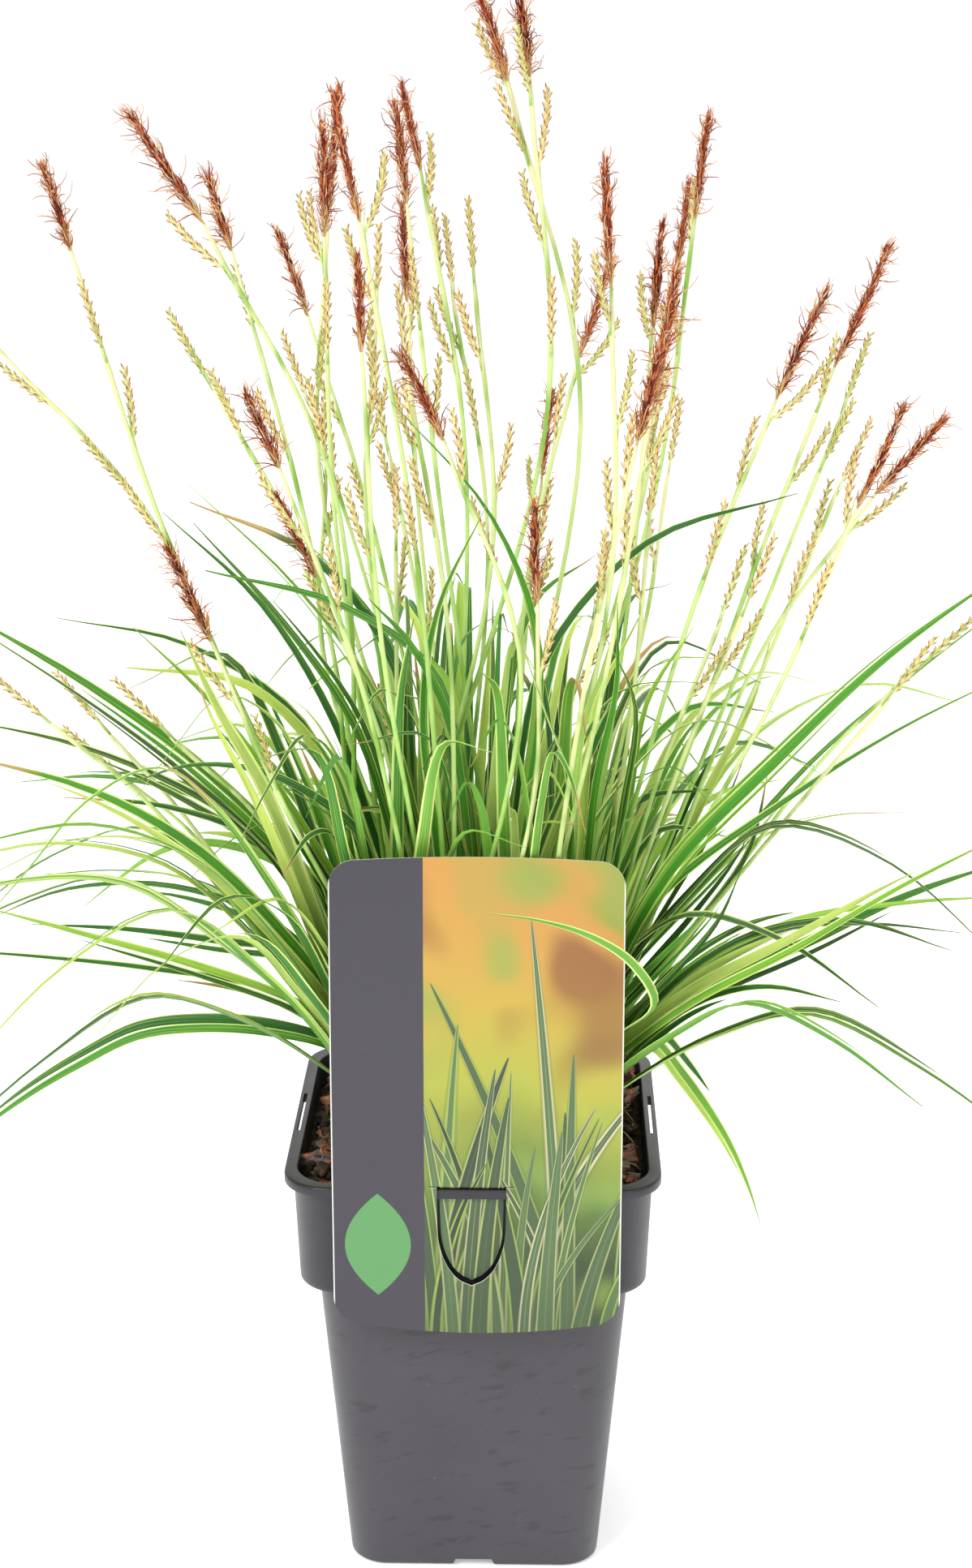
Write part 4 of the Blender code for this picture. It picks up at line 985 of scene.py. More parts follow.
def add_utricle(shape, place, heading, outward, size, tone):
    """A pointed seed case with the dark-tipped scale that holds it."""
    run = heading * UTRICLE_LENGTH * size
    side = heading.cross(outward).normalized()
    lift = side.cross(heading)
    case = [(share, wide * size, wide * 0.8 * size, 0, share * 0.6) for share, wide in UTRICLE_ROWS]
    husk = [(share, wide * size, 0.1, rise * size, 0.45 + share * 0.7) for share, wide, rise in HUSK_ROWS]
    add_sliver(shape, place, run, side, lift, case, 5, tone=tone)
    add_sliver(shape, place, run, side, lift, husk, 4, tone=tone)


def make_male(node, top, tip, paints):
    """A male spike: overlapping red-brown scales round a core, and a fringe of pale filaments."""
    draw = random.Random(node)
    shape = Shape(f"{node}_florets", "along", "rise", "tone", "seed")
    foot = top - (tip - top).normalized() * 1.0 * MM
    axis = tip - foot
    heading = axis.normalized()
    side = heading.cross(SIDE_HINT).normalized()
    thickness = draw.uniform(*MALE_THICKNESS)
    fluff = draw.uniform(*MALE_FLUFF)
    tone = draw.random()
    bow = turned(side, heading, draw.uniform(0, math.tau)) * axis.length * draw.uniform(0.0, 0.03)

    def core_place(share):
        return foot + axis * share + bow * math.sin(math.pi * share)

    def core_radius(share):
        return thickness * (0.26 + 0.95 * math.sin(math.pi * (0.05 + 0.93 * share)) ** 0.8) * MM

    radii = [0.4 * MM] + [core_radius(share) * 0.5 for share in CORE_SHARES[1:-1]] + [0.1 * MM]
    places = [core_place(share) for share in CORE_SHARES]
    tube(shape, places, radii, 8, along=0.2, rise=CORE_SHARES, tone=tone, seed=0.5)
    count = round(axis.length / MM * SCALES_PER_MM)
    for index in range(count):
        share = 0.02 + 0.95 * index / count
        outward = turned(side, heading, index * GOLDEN_ANGLE)
        place = core_place(share) + outward * core_radius(share) * 0.5
        spread = draw.uniform(*(SPRUNG_SPREAD if draw.random() < SPRUNG_SHARE else SCALE_SPREAD))
        lean = (heading + outward * spread + lean_off(draw, side, heading, 0.14)).normalized()
        run = lean * draw.uniform(*SCALE_LENGTH) * (1 - 0.4 * share) * MM
        add_scale(shape, place, run, outward, rise=share, tone=tone, seed=draw.random())
    for _ in range(round(axis.length / MM * FILAMENTS_PER_MM * (0.4 + 0.6 * fluff))):
        share = draw.uniform(0.05, 1.0)
        outward = turned(side, heading, draw.uniform(0, math.tau))
        place = core_place(min(share, 0.98)) + outward * core_radius(share) * 0.7
        loose = draw.random() < LOOSE_SHARE
        reach = draw.uniform(3.0, 7.5 if loose else 5.5) * MM * (0.5 + 0.5 * fluff)
        upwards = draw.uniform(0.4, 1.0)
        outwards = draw.uniform(0.3, 0.9) if loose else draw.uniform(0.05, 0.3)
        lean = (heading * upwards + outward * outwards).normalized()
        swerve = turned(lean.cross(SIDE_HINT).normalized(), lean, draw.uniform(0, math.tau))
        drop = UP * (draw.uniform(-0.8, 0.1) if loose else -0.1)
        stations = [place + (lean * step + swerve * 0.2 * math.sin(step * 2.6) + drop * step * step) * reach
                    for step in FILAMENT_STEPS]
        width = draw.uniform(*FILAMENT_WIDTH) * MM
        tube(shape, stations, [width, width, width, width * 0.8, width * 0.5], 3, slots=1,
             along=FILAMENT_STEPS, rise=share, tone=tone, seed=draw.random())
    shape.build(paints, [node])


def add_scale(shape, place, run, outward, **values):
    """A narrow scale that bulges away from the spike's core."""
    rows = [(share, wide, 0.09, 0.25 * math.sin(math.pi * share), share) for share, wide in SCALE_ROWS]
    add_sliver(shape, place, run, run.cross(outward).normalized(), outward, rows, 4, **values)


def lean_off(draw, side, heading, most):
    """A small random push to the side of a heading."""
    return turned(side, heading, draw.uniform(0, math.tau)) * draw.uniform(0, most)


def stem_paint():
    """Lime green low down, paler and yellower towards the spikes, with fine ribs."""
    paint = Paint("culm_green", 0.45, 0.4)
    along, tone = paint.attributes("along", "tone")
    drift = paint.noise(paint.scaled(paint.place(), (1, 1, 0.25)), 160.0)
    green = paint.ramp(along, (0.0, (0.10, 0.36, 0.03)), (0.4, (0.30, 0.58, 0.09)),
                       (0.75, (0.56, 0.73, 0.25)), (1.0, (0.72, 0.73, 0.38)))
    straw = paint.mix(paint.times(along, 0.6), green, (0.82, 0.74, 0.42))
    colour = paint.mix(paint.step(tone, 0.35, 1.0), green, straw)
    paint.colour(paint.mix(paint.step(drift, 0.45, 0.75), colour, (0.22, 0.42, 0.05)))
    paint.bump(drift, 0.1 * MM, 0.4)
    return paint


def utricle_paint():
    """Straw yellow with a green cast, dark brown where the scales end."""
    paint = Paint("utricle_straw", 0.55, 0.35)
    along, tone = paint.attributes("along", "tone")
    mottle = paint.noise(paint.place(), 900.0)
    straw = paint.mix(tone, (0.58, 0.48, 0.11), (0.76, 0.45, 0.16))
    body = paint.mix(mottle, straw, paint.mix(0.5, straw, (0.90, 0.76, 0.36)))
    dark = paint.mix(mottle, (0.09, 0.045, 0.012), (0.26, 0.13, 0.035))
    paint.colour(paint.mix(paint.step(along, 0.62, 0.85), body, dark))
    return paint


def scale_paint():
    """Red-brown scales that turn tan at their tips and towards the spike's foot."""
    paint = Paint("male_scale", 0.6, 0.3)
    along, rise, tone, seed = paint.attributes("along", "rise", "tone", "seed")
    rust = paint.mix(tone, (0.11, 0.010, 0.004), (0.34, 0.06, 0.02))
    # Painted highlight: scales with a high seed, picked at random, are painted a lighter orange.
    body = paint.mix(paint.step(seed, 0.5, 0.7), rust, (0.52, 0.13, 0.04))
    body = paint.mix(paint.step(along, 0.75, 1.0), body, (0.66, 0.26, 0.10))
    paint.colour(paint.mix(paint.step(rise, 0.3, 0.0, 0.75), body, (0.72, 0.50, 0.20)))
    return paint


def filament_paint():
    """Filaments from rust through tan to grey."""
    paint = Paint("male_filament", 0.6, 0.3)
    seed, = paint.attributes("seed")
    paint.colour(paint.ramp(seed, (0.0, (0.20, 0.022, 0.009)), (0.3, (0.44, 0.11, 0.04)),
                            (0.55, (0.72, 0.33, 0.14)), (0.8, (0.86, 0.58, 0.30)), (1.0, (0.40, 0.27, 0.24))))
    return paint


# Pot


def rounded_square(half, radius, z):
    """Points of a square with rounded corners, counter-clockwise, at one height."""
    points = []
    for quarter in range(4):
        middle = turned(Vector((half - radius, half - radius, z)), UP, quarter * math.pi / 2)
        for step in range(CORNER_STEPS + 1):
            angle = (quarter + step / CORNER_STEPS) * math.pi / 2
            points.append(middle + Vector((math.cos(angle), math.sin(angle), 0)) * radius)
    return points


def bend(half, z, radius, corner, start, end, steps=4):
    """Stations of a rounded edge: half width, corner radius and height round its centre."""
    stations = []
    for step in range(steps + 1):
        angle = math.radians(start + (end - start) * step / steps)
        stations.append((half + radius * math.cos(angle), corner, z + radius * math.sin(angle)))
    return stations


def pot_stations():
    """The pot's profile from the underside up the outside and down the inside, edges rounded."""
    collar_z = POT_HEIGHT - COLLAR_HEIGHT
    lip_z = POT_HEIGHT - RIM_HEIGHT
    step_z = collar_z - STEP_HEIGHT
    edge = 0.7 * MM
    stations = bend(BODY_FOOT_HALF - FOOT_EDGE, FOOT_EDGE, FOOT_EDGE, FOOT_CORNER_RADIUS, -90, 0)
    stations.append((BODY_TOP_HALF - 0.1 * MM, CORNER_RADIUS, step_z - 0.8 * MM))
    stations += bend(BODY_TOP_HALF + edge, step_z - 0.8 * MM, -edge, CORNER_RADIUS, 0, -70, 3)
    stations += bend(COLLAR_FOOT_HALF - edge, collar_z + 0.1 * MM, edge, CORNER_RADIUS, -90, 0)
    stations.append((COLLAR_TOP_HALF, CORNER_RADIUS, lip_z - 0.4 * MM))
    stations += bend(COLLAR_TOP_HALF + 0.4 * MM, lip_z - 0.4 * MM, -0.4 * MM, CORNER_RADIUS, 0, -90, 2)
    stations += bend(RIM_HALF - 0.3 * MM, lip_z + 0.3 * MM, 0.3 * MM, CORNER_RADIUS, -90, 0, 2)
    stations += bend(RIM_HALF - RIM_EDGE, POT_HEIGHT - RIM_EDGE, RIM_EDGE, CORNER_RADIUS, 0, 90)
    inside = COLLAR_TOP_HALF - WALL
    stations += bend(inside + 0.4 * MM, POT_HEIGHT - 0.4 * MM, 0.4 * MM, CORNER_RADIUS - WALL, 90, 180, 3)
    radius = CORNER_RADIUS - WALL
    stations += [
        (COLLAR_FOOT_HALF - WALL, radius, collar_z + WALL),
        (BODY_TOP_HALF - WALL, radius, step_z + WALL),
        (BODY_FOOT_HALF - WALL, FOOT_CORNER_RADIUS - WALL, FLOOR),
    ]
    return stations


def box_cutter(low, high, turn):
    """A box between two corners, turned about the pot's axis."""
    bm = bmesh.new()
    size = Vector(high) - Vector(low)
    middle = (Vector(high) + Vector(low)) / 2
    bmesh.ops.create_cube(bm, size=1, matrix=Matrix.Translation(middle) @ Matrix.Diagonal(size).to_4x4())
    bm.transform(Matrix.Rotation(turn, 4, "Z"))
    return placed(into_mesh(bm, "cutter"))


def make_pot():
    """The pot's shell with its label slots cut, and drain notches that narrow upwards."""
    stations = pot_stations()
    shape = Shape("pot_shell")
    points = [point for station in stations for point in rounded_square(*station)]
    shape.add(points, skin(len(stations), 4 * (CORNER_STEPS + 1)))
    pot = shape.build([pot_paint()], ["pot"])
    out = RIM_HALF - RAIL_WIDTH
    for side in range(4):
        turn = side * math.pi / 2
        slot = box_cutter((-SLOT_LENGTH / 2, -out, POT_HEIGHT - 2 * RIM_HEIGHT),
                          (SLOT_LENGTH / 2, -out + SLOT_WIDTH, POT_HEIGHT + RIM_HEIGHT), turn)
        drain = box_cutter((-DRAIN_WIDTH / 2, -RIM_HALF, -DRAIN_HEIGHT),
                           (DRAIN_WIDTH / 2, DRAIN_DEPTH - BODY_FOOT_HALF, DRAIN_HEIGHT), turn)
        sideways = turned(Vector((1, 0, 0)), UP, turn)
        for vert in drain.data.vertices:
            vert.co -= sideways * math.copysign(DRAIN_SLOPE, vert.co.dot(sideways) * vert.co.z)
        for cutter in (slot, drain):
            modifier = pot.modifiers.new("Cut", "BOOLEAN")
            modifier.operation = "DIFFERENCE"
            modifier.object = cutter
            bake(pot)
            bpy.data.objects.remove(cutter)
    pot.data.shade_smooth()
    pot.data.set_sharp_from_angle(angle=POT_CREASE)


def pot_paint():
    """Grey-black moulded plastic with slanting scuffs, painted shade on the flat top of the rim, dust and a
    soft sheen.
    """
    paint = Paint("pot_plastic", 0.4, 0.4)
    place = paint.place()
    x, y, z = paint.split(place)
    grain = paint.noise(place, 1400.0)
    clouds = paint.noise(place, 26.0, 4.0, 0.6)
    dust = paint.noise(place, 700.0, 1.0)
    slanting = paint.node("ShaderNodeVectorRotate", {"Vector": place, "Angle": math.radians(12)},
                          rotation_type="Y_AXIS").outputs[0]
    scuffs = paint.noise(paint.scaled(slanting, (0.5, 0.5, 1.6)), 210.0, 3.0, 0.5, 0.5)
    base = paint.mix(clouds, (0.046, 0.043, 0.05), (0.07, 0.065, 0.075))
    collar_foot = POT_HEIGHT - COLLAR_HEIGHT
    base = paint.mix(paint.step(z, collar_foot, collar_foot + STEP_HEIGHT, 0.7), base, (0.014, 0.013, 0.018))
    worn = paint.mix(paint.step(scuffs, 0.56, 0.7, 0.4), base, (0.02, 0.019, 0.022))
    worn = paint.mix(paint.step(dust, 0.75, 0.82, 0.25), worn, (0.2, 0.19, 0.19))
    # Painted shade: the flat top of the rim, inside its outer edge, is darkened to near black.
    inwards = paint.math("MAXIMUM", paint.size(x), paint.size(y))
    flange_shade = paint.times(paint.step(inwards, RIM_HALF - RIM_EDGE, RIM_HALF - 2 * RIM_EDGE, 0.85),
                         paint.step(z, POT_HEIGHT - 2 * RIM_EDGE, POT_HEIGHT - RIM_EDGE))
    paint.colour(paint.mix(flange_shade, worn, (0.010, 0.008, 0.008)))
    paint.give("Roughness", paint.ramp(clouds, (0.3, (0.3, 0.3, 0.3)), (0.75, (0.44, 0.44, 0.44))))
    paint.bump(paint.plus(paint.times(grain, 0.25), paint.times(clouds, 0.6)), 0.35 * MM, 0.5)
    return paint


# Soil and bark


def in_rounded(x, y, half, radius):
    """Whether a place lies inside a square with rounded corners."""
    over_x = max(0.0, abs(x) - (half - radius))
    over_y = max(0.0, abs(y) - (half - radius))
    return math.hypot(over_x, over_y) < radius


def soil_top(x, y):
    """Height of the rough soil: the part's mound with crumbs on it, lower at the wall."""
    place = Vector((x, y, 0))
    lumps = sum(noise.noise(place * scale) * height for scale, height in SOIL_LUMPS)
    near_wall = max(0.0, max(abs(x), abs(y)) - WALL_DROP_FROM) / WALL_DROP_RUN
    return soil_height(x, y) + (lumps - SOIL_SINK - WALL_DROP * near_wall) * MM


def make_soil():
    """The soil's rough top with its sides, then crumbs, fibres and bits of bark and wood on it."""
    peat = soil_paint()
    cells = round(SOIL_HALF / SOIL_CELL)
    bm = bmesh.new()
    grid = {}
    for i in range(-cells, cells + 1):
        for j in range(-cells, cells + 1):
            x = i * SOIL_CELL
            y = j * SOIL_CELL
            if in_rounded(x, y, SOIL_HALF + SOIL_CELL / 2, CORNER_RADIUS - WALL):
                grid[i, j] = bm.verts.new((x, y, soil_top(x, y)))
    for (i, j), vert in grid.items():
        others = [grid.get((i + 1, j)), grid.get((i + 1, j + 1)), grid.get((i, j + 1))]
        if None not in others:
            bm.faces.new([vert] + others)
    bmesh.ops.delete(bm, geom=[vert for vert in bm.verts if not vert.link_faces], context="VERTS")
    rim = [edge for edge in bm.edges if len(edge.link_faces) == 1]
    for vert in bmesh.ops.extrude_edge_only(bm, edges=rim)["geom"]:
        if isinstance(vert, bmesh.types.BMVert):
            vert.co = vert.co * SOIL_NARROWING
            vert.co.z = SOIL_EDGE_Z - SOIL_DEPTH
    bmesh.ops.holes_fill(bm, edges=[edge for edge in bm.edges if len(edge.link_faces) == 1], sides=0)
    bmesh.ops.recalc_face_normals(bm, faces=bm.faces[:])
    surface = Shape("soil_surface")
    surface.add(*parts_of(bm))
    surface.build([peat], ["soil"])
    make_crumbs(peat)
    draw = random.Random("litter")
    make_fibres(draw)
    make_bits(draw)


def soil_spot(draw, reach, heaped):
    """A random place on the soil, or in the litter that is heaped against the pot's two sides."""
    while True:
        x = draw.uniform(-reach, reach)
        y = draw.uniform(-reach, reach)
        if in_rounded(x, y, reach, CORNER_RADIUS - 2 * WALL) and not (heaped and abs(x) < HEAP_FROM):
            pile = draw.uniform(0, HEAP) * min(1.0, (abs(x) - HEAP_FROM) / HEAP_RUN) if heaped else 0.0
            return Vector((x, y, soil_top(x, y) + pile))


def add_lump(shape, parts, place, spin, size, rough, scale, shift, seed):
    """A ball or slab, sized, made rough by noise and turned, at a place."""
    points, faces = parts
    lump = []
    for point in points:
        bulge = 1 + rough * noise.noise(point * scale + shift)
        lump.append(place + spin @ (point * size) * bulge)
    shape.add(lump, faces, seed=seed)


def make_crumbs(peat):
    """Loose crumbs of peat over the soil."""
    draw = random.Random("crumbs")
    shape = Shape("soil_crumbs", "seed")
    bm = bmesh.new()
    bmesh.ops.create_icosphere(bm, subdivisions=2, radius=1)
    ball = parts_of(bm)
    for index in range(CRUMBS):
        heaped = index % 2 == 0
        size = draw.uniform(*(HEAPED_CRUMB if heaped else LOOSE_CRUMB)) * MM * draw.uniform(0.5, 1)
        place = soil_spot(draw, CRUMB_REACH, heaped) + UP * size * 0.35
        angle = draw.uniform(0, math.tau)
        spin = Matrix.Rotation(angle, 3, (draw.gauss(0, 1), draw.gauss(0, 1), draw.gauss(0, 1)))
        stretch = Vector((1, draw.uniform(0.6, 1), draw.uniform(0.5, 0.9)))
        shift = Vector((draw.uniform(0, 50), draw.uniform(0, 50), draw.uniform(0, 50)))
        add_lump(shape, ball, place, spin, stretch * size, 0.38, 1.7, shift, draw.random())
    shape.build([peat])


def make_fibres(draw):
    """Roots, twigs and needles scattered on the soil."""
    shape = Shape("soil_fibres", "seed")
    for index in range(FIBRES):
        start = soil_spot(draw, LITTER_REACH, index % 2 == 0)
        lift = start.z - soil_top(start.x, start.y)
        heading = Vector((draw.gauss(0, 1), draw.gauss(0, 1), 0)).normalized()
        reach = draw.uniform(*FIBRE_LENGTH) * MM
        arch = draw.uniform(*FIBRE_ARCH) * MM
        swerve = turned(heading, UP, math.pi / 2) * draw.gauss(0, 0.25) * reach
        stations = []
        for share in (0, 0.2, 0.4, 0.6, 0.8, 1):
            place = start + heading * reach * (share - 0.5) + swerve * share * share
            if not in_rounded(place.x, place.y, LITTER_EDGE, CORNER_RADIUS - 2 * WALL):
                place = Vector((start.x, start.y, 0)) + (place - start) * 0.2
            place.z = soil_top(place.x, place.y) + lift + arch * math.sin(math.pi * share) + 0.15 * MM
            stations.append(place)
        width = draw.choice(FIBRE_WIDTHS) * MM
        tube(shape, stations, [width * 0.6] + [width] * 4 + [width * 0.4], 5, seed=draw.random())
    shape.build([fibre_paint()])


def make_bits(draw):
    """Small pieces of bark scattered on the soil."""
    shape = Shape("bark_bits", "seed")
    bm = bmesh.new()
    bmesh.ops.create_cube(bm, size=2)
    bmesh.ops.subdivide_edges(bm, edges=bm.edges[:], cuts=3, use_grid_fill=True)
    slab = parts_of(bm)
    for index in range(BARK_BITS):
        length = draw.uniform(*BIT_LENGTH) * MM
        size = Vector((length, length * draw.uniform(*BIT_WIDTH), length * draw.uniform(*BIT_HEIGHT))) / 2
        place = soil_spot(draw, LITTER_REACH, index % 5 < 3) + UP * size.z * 0.9
        spin = Matrix.Rotation(draw.uniform(0, math.tau), 3, "Z")
        spin = spin @ Matrix.Rotation(draw.gauss(0, 0.3), 3, "X")
        spin = spin @ Matrix.Rotation(draw.gauss(0, 0.25), 3, "Y")
        shift = Vector((draw.uniform(0, 50), draw.uniform(0, 50), 0))
        add_lump(shape, slab, place, spin, size, 0.4, 1.3, shift, draw.random())
    shape.build([bark_paint()], sharp=BIT_CREASE)


def make_chips():
    """The large bark chips: the part's slabs made fine, with layers and cracks."""
    bark = bark_paint()
    for index in range(1, 5):
        node = f"bark_chip_{index}"
        bm = bmesh.new()
        bm.from_mesh(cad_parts[node].data)
        bmesh.ops.remove_doubles(bm, verts=bm.verts[:], dist=CLOSE)
        bmesh.ops.subdivide_edges(bm, edges=bm.edges[:], cuts=CHIP_CUTS, use_grid_fill=True, smooth=0.25)
        bmesh.ops.triangulate(bm, faces=bm.faces[:])
        bm.normal_update()
        for vert in bm.verts:
            coarse = noise.noise(vert.co * CHIP_GRAIN)
            fine = noise.noise(vert.co * CHIP_LAYERS)
            vert.co += vert.normal * (0.5 * coarse + 0.28 * fine - 0.15) * MM
        chip = Shape(f"{node}_bark", "seed")
        chip.add(*parts_of(bm), seed=0.2 * index)
        chip.build([bark], [node], CHIP_CREASE)


def soil_paint():
    """Dark moist peat with brown and grey specks."""
    paint = Paint("peat", 0.9, 0.25)
    clumps = paint.noise(paint.place(), 260.0, 4.0, 0.65)
    specks = paint.noise(paint.place(), 1300.0)
    dark = paint.ramp(clumps, (0.3, (0.012, 0.008, 0.006)), (0.55, (0.045, 0.027, 0.018)),
                      (0.75, (0.13, 0.078, 0.05)))
    paint.colour(paint.mix(paint.step(specks, 0.66, 0.76, 0.6), dark, (0.2, 0.13, 0.08)))
    paint.bump(clumps, 0.8 * MM, 0.8)
    return paint


def bark_paint():
    """Red-brown bark with layered grain, grey weathering and pale broken edges."""
    paint = Paint("bark", 0.8, 0.3)
    seed, = paint.attributes("seed")
    seed = paint.times(seed, 11.0)
    shifted = paint.node("ShaderNodeVectorMath", {0: paint.place(), 1: paint.join(seed, seed, 0)}).outputs[0]
    layers = paint.noise(paint.scaled(shifted, (1, 1, 4)), 330.0, 4.0, 0.65, 0.4)
    patches = paint.noise(shifted, 120.0)
    red = paint.ramp(layers, (0.25, (0.03, 0.011, 0.008)), (0.5, (0.22, 0.07, 0.035)),
                     (0.66, (0.50, 0.20, 0.10)), (0.85, (0.80, 0.52, 0.36)))
    grey = paint.mix(layers, (0.015, 0.012, 0.013), (0.34, 0.28, 0.27))
    paint.colour(paint.mix(paint.step(patches, 0.48, 0.56), red, grey))
    paint.bump(layers, 0.7 * MM, 0.7)
    return paint


def fibre_paint():
    """Roots, needles and twigs from tan to dark brown."""
    paint = Paint("fibre", 0.7, 0.3)
    seed, = paint.attributes("seed")
    paint.colour(paint.ramp(seed, (0.0, (0.04, 0.02, 0.012)), (0.4, (0.14, 0.065, 0.03)),
                            (0.7, (0.36, 0.24, 0.13)), (1.0, (0.66, 0.56, 0.36))))
    return paint


# Label


def label_y(z):
    """The card hangs straight below the rim and bows back above it."""
    rise = max(0.0, z - POT_HEIGHT) / (LABEL_TOP - POT_HEIGHT)
    return LABEL_Y + LABEL_LEAN * rise * rise


def label_outline():
    """The card's edge in x and z: rounded corners, an arched top and a foot that arches more."""
    reach = LABEL_HALF - LABEL_CORNER
    low = LABEL_FOOT + LABEL_CORNER
    high = LABEL_TOP - LABEL_CORNER
    corners = ((LABEL_MIDDLE + reach, high), (LABEL_MIDDLE - reach, high),
               (LABEL_MIDDLE - reach, low), (LABEL_MIDDLE + reach, low))
    points = []
    for quarter, (x, z) in enumerate(corners):
        for step in range(CORNER_STEPS + 1):
            angle = (quarter + step / CORNER_STEPS) * math.pi / 2
            points.append((x + LABEL_CORNER * math.cos(angle), z + LABEL_CORNER * math.sin(angle)))
        if quarter % 2 == 0:
            start_x, start_z = points[-1]
            leg = (corners[quarter + 1][0] - x) / LABEL_ARCH_STEPS
            points += [(start_x + leg * step, start_z) for step in range(1, LABEL_ARCH_STEPS)]
    arched = []
    for x, z in points:
        arch = -LABEL_TOP_ARCH if z > POT_HEIGHT else LABEL_FOOT_ARCH
        arched.append((x, z + arch * ((x - LABEL_MIDDLE) / LABEL_HALF) ** 2))
    return arched


def tongue_edge():
    """The tongue's right edge, from under the hinge down to its point, as a smooth line."""
    marks = [Vector((half, z, 0)) * MM for half, z in TONGUE_EDGE]
    return [(point.x, point.y) for point in through(marks, 6)]


def opening_outline():
    """The cut in the card in x and z: a slit under the hinge, and the arched edge of the tongue."""
    slit_z = TONGUE_TOP - SLIT_HEIGHT
    right = [(TONGUE_HALF, TONGUE_TOP), (SLIT_HALF, TONGUE_TOP), (SLIT_HALF, slit_z), (TONGUE_HALF, slit_z)]
    right += tongue_edge()
    return right + [(-x, z) for x, z in reversed(right[:-1])]


def make_label():
    """The hanging card with its arched cut and the tongue that hooks behind the rail."""
    printed = label_paint()
    edge = Paint("card_edge", 0.5, 0.4)
    edge.colour(edge.mix(edge.noise(edge.place(), 900.0), (0.72, 0.71, 0.66), (0.86, 0.85, 0.80)))
    curve = bpy.data.curves.new("label_outline", "CURVE")
    curve.dimensions = "2D"
    curve.fill_mode = "BOTH"
    for outline in (label_outline(), opening_outline()):
        spline = curve.splines.new("POLY")
        spline.points.add(len(outline) - 1)
        for point, (x, z) in zip(spline.points, outline):
            point.co = (x, z, 0, 1)
        spline.use_cyclic_u = True
    flat = placed(curve)
    graph = bpy.context.evaluated_depsgraph_get()
    bm = bmesh.new()
    bm.from_mesh(bpy.data.meshes.new_from_object(flat.evaluated_get(graph)))
    bpy.data.objects.remove(flat)
    bmesh.ops.remove_doubles(bm, verts=bm.verts[:], dist=CLOSE)
    for cut in range(1, LABEL_BENDS):
        height = POT_HEIGHT + cut * (LABEL_TOP - POT_HEIGHT) / LABEL_BENDS
        bmesh.ops.bisect_plane(bm, geom=bm.verts[:] + bm.edges[:] + bm.faces[:], dist=CLOSE,
                               plane_co=(0, height, 0), plane_no=(0, 1, 0))
    for vert in bm.verts:
        vert.co = Vector((vert.co.x, label_y(vert.co.y), vert.co.y))
    add_tongue(bm)
    bmesh.ops.recalc_face_normals(bm, faces=bm.faces[:])
    card = placed(into_mesh(bm, "label_card"), printed, edge)
    solid = card.modifiers.new("Card", "SOLIDIFY")
    solid.thickness = LABEL_THICKNESS
    solid.offset = 0
    solid.material_offset_rim = 1
    bake(card)
    enlist(card, ["label"])


def add_tongue(bm):
    """Extend the card from the opening's top edge, over the rail and down behind it."""
    slot_y = -(RIM_HALF - RAIL_WIDTH - SLOT_WIDTH / 2)
    rail_y = (label_y(TONGUE_TOP) + slot_y) / 2
    half = TONGUE_HALF - TONGUE_GAP
    crest = POT_HEIGHT + 0.3 * MM + LABEL_THICKNESS / 2
    rows = [
        (half, rail_y - RAIL_WIDTH / 2, crest + 0.5 * MM),
        (half, rail_y + RAIL_WIDTH / 2, crest + 0.4 * MM),
        (half, slot_y, POT_HEIGHT - 0.4 * MM),
    ]
    for edge, z in tongue_edge():
        narrowed = max(edge - TONGUE_GAP, TONGUE_TIP_HALF)
        rows.append((narrowed, slot_y, z + TONGUE_GAP * (1 - edge / TONGUE_HALF)))
    top = [vert for vert in bm.verts
           if abs(vert.co.z - TONGUE_TOP) < CLOSE and abs(abs(vert.co.x) - TONGUE_HALF) < CLOSE]
    left, right = sorted(top, key=lambda vert: vert.co.x)
    for half, y, z in rows:
        next_left = bm.verts.new((-half, y, z))
        next_right = bm.verts.new((half, y, z))
        bm.faces.new((left, right, next_right, next_left))
        left, right = next_left, next_right


def label_paint():
    """A dark plain band, and a soft warm field that grass blades of its own design stand in."""
    paint = Paint("label_print", 0.32, 0.5)
    place = paint.place()
    x, _, z = paint.split(place)
    rise = paint.over(paint.minus(z, LABEL_FOOT), LABEL_TOP - LABEL_FOOT)
    blur = paint.noise(place, 16.0, 1.0)
    mixed = paint.plus(rise, paint.times(paint.minus(blur, 0.5), 0.5))
    field = paint.ramp(mixed, (0.08, (0.03, 0.055, 0.015)), (0.3, (0.10, 0.18, 0.03)),
                       (0.5, (0.36, 0.38, 0.045)), (0.68, (0.47, 0.34, 0.045)), (0.95, (0.53, 0.27, 0.055)))
    drift = paint.noise(place, 27.0, 1.0)
    field = paint.mix(paint.step(drift, 0.5, 0.38, 0.8), field, (0.22, 0.33, 0.06))
    field = paint.mix(paint.step(drift, 0.55, 0.68, 0.75), field, (0.20, 0.065, 0.022))
    draw = random.Random("print")
    for index in range(PRINTED_BLADES):
        field = printed_blade(paint, field, x, z, 1 - index / PRINTED_BLADES, draw)
    speckle = paint.noise(place, 2500.0, 1.0)
    band = paint.mix(speckle, (0.038, 0.035, 0.046), (0.052, 0.048, 0.060))
    band = paint.mix(lozenge(paint, x, z), band, (0.10, 0.29, 0.095))
    left = paint.step(x, LABEL_BAND + PRINT_BLUR, LABEL_BAND - PRINT_BLUR)
    aside = paint.size(paint.minus(x, LABEL_MIDDLE))
    cut = paint.step(aside, LABEL_HALF - PRINT_FADE, LABEL_HALF - PRINT_END)
    paint.colour(paint.mix(cut, paint.mix(left, field, band), (0.7, 0.69, 0.66)))
    return paint


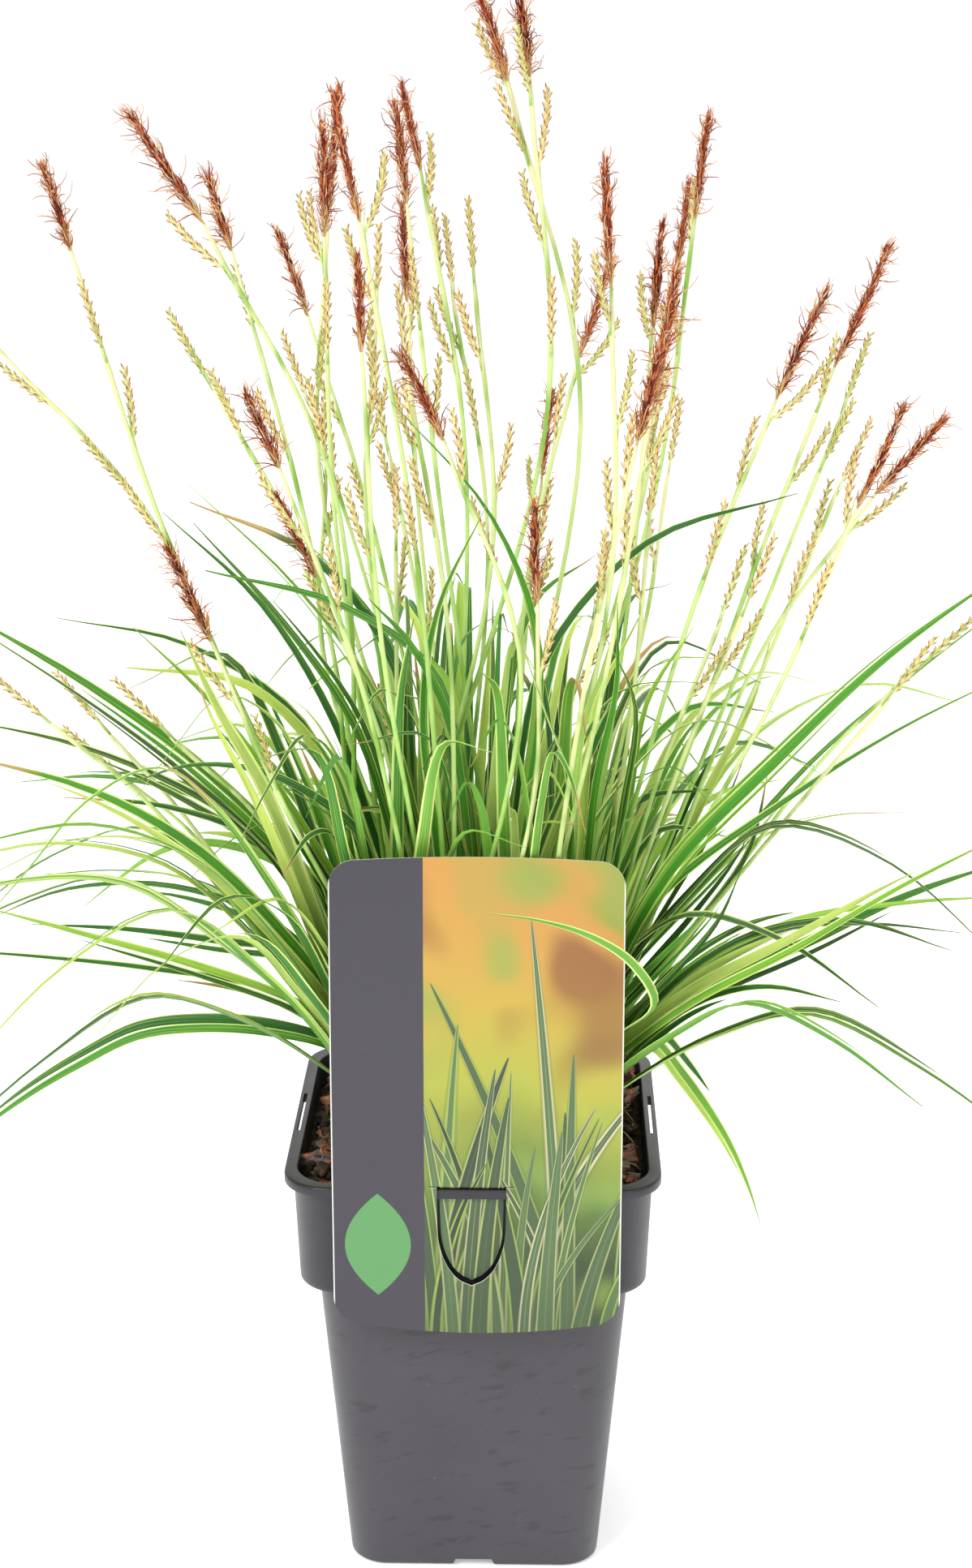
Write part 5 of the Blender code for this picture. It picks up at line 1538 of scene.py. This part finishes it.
def printed_blade(paint, field, x, z, far, draw):
    """Paint one tapering blade over the field: taller and softer the farther off it is."""
    foot = draw.uniform(*PRINTED_FEET) * MM
    height = (draw.uniform(*PRINTED_HEIGHTS) + PRINTED_FAR_HEIGHT * far * draw.random()) * MM
    sweep = draw.gauss(0, 0.24) * height
    half = draw.uniform(*PRINTED_WIDTHS) * MM
    soft = 0.05 + 0.25 * far
    shade = draw.random()
    run = paint.over(paint.minus(z, LABEL_FOOT - PRINTED_SINK), height)
    run = paint.node("ShaderNodeClamp", {"Value": run}).outputs[0]
    below_tip = paint.math("LESS_THAN", run, 0.999)
    sideways = paint.times(paint.math("POWER", run, draw.uniform(1.2, 2.2)), sweep)
    away = paint.size(paint.minus(paint.minus(x, foot), sideways))
    width = paint.times(paint.math("SQRT", paint.minus(1.0, run)), half)
    edge = paint.over(away, paint.math("MAXIMUM", width, 0.01 * MM))
    dark = (0.022 + 0.07 * shade, 0.035 + 0.13 * shade, 0.022 + 0.035 * shade)
    cream = draw.random() ** 2
    light = (0.26 + 0.3 * cream, 0.37 + 0.15 * cream, 0.06 + 0.27 * cream)
    core = draw.uniform(0.42, 0.78)
    colour = paint.mix(paint.step(edge, core, core + 0.16), dark, light)
    colour = paint.mix(paint.step(edge, 0.14, 0.04, 0.3 * cream), colour, light)
    colour = paint.mix(paint.step(run, 0.5, 0.0, 0.5), colour, (0.03, 0.06, 0.02))
    shadow = paint.times(paint.step(edge, 1.7, 1.0, 0.4), below_tip)
    cover = paint.times(paint.step(edge, 1 + soft, 1 - soft), below_tip)
    return paint.mix(cover, paint.mix(shadow, field, (0.05, 0.07, 0.02)), colour)


def lozenge(paint, x, z):
    """A plain leaf-like lozenge low on the band."""
    across = paint.size(paint.minus(x, LOZENGE_X))
    upwards = paint.size(paint.minus(z, LOZENGE_Z))
    bulge = paint.minus(1.0, paint.math("POWER", paint.over(upwards, LOZENGE_RISE), 2.0))
    return paint.step(paint.minus(paint.times(bulge, LOZENGE_HALF), across), -0.1 * MM, 0.1 * MM)


# Stage


def make_stage():
    """A pale floor, a camera at the photograph's angle and soft light all round."""
    scene = bpy.context.scene
    bpy.ops.mesh.primitive_plane_add(size=FLOOR_SIZE, location=(0, 0, FLOOR_Z))
    floor = bpy.context.object
    floor.name = "floor"
    paint = Paint("floor_white", 0.9, 0.2)
    paint.colour(paint.mix(paint.noise(paint.place(), 3.0), (0.92, 0.92, 0.925), (0.94, 0.94, 0.945)))
    paint.give("Emission Color", (1, 1, 1))
    paint.give("Emission Strength", FLOOR_GLOW)
    floor.data.materials.append(paint.material)
    scene.world = bpy.data.worlds.new("studio")
    scene.world.use_nodes = True
    sky = Nodes(scene.world.node_tree)
    height = sky.split(sky.place("Generated"))[2]
    fade = sky.node("ShaderNodeMapRange", {"Value": height, "From Min": SKY_LOW, "From Max": SKY_HIGH,
                                           "To Min": SKY_LOW_GLOW, "To Max": SKY_HIGH_GLOW})
    background = sky.tree.nodes["Background"]
    sky.feed(background.inputs["Color"], (1, 1, 1))
    sky.feed(background.inputs["Strength"], fade.outputs[0])
    for name, spot, size, power in LIGHTS:
        light = bpy.data.lights.new(name, "AREA")
        light.size = size
        light.energy = power
        lamp = bpy.data.objects.new(name, light)
        scene.collection.objects.link(lamp)
        lamp.location = spot
        lamp.rotation_euler = (LIGHTS_AIM - Vector(spot)).to_track_quat("-Z", "Y").to_euler()
    scene.camera = placed(bpy.data.cameras.new("camera"))
    scene.camera.data.sensor_width = SENSOR
    scene.camera.data.lens = FOCAL_PIXELS / IMAGE_HEIGHT * SENSOR
    scene.camera.data.clip_start = 0.01
    right = turned(Vector((1, 0, 0)), UP, CAMERA_AZIMUTH)
    forward = turned(UP.cross(right), right, -CAMERA_PITCH)
    turn = Matrix((right, right.cross(forward), -forward)).transposed().to_4x4()
    scene.camera.matrix_world = Matrix.Translation(CAMERA_PLACE) @ turn
    scene.view_settings.view_transform = "Standard"


ROOT_SPOTS = root_spots()
make_leaves(ROOT_SPOTS)
make_stems(ROOT_SPOTS)
make_pot()
make_soil()
make_chips()
make_label()
make_stage()
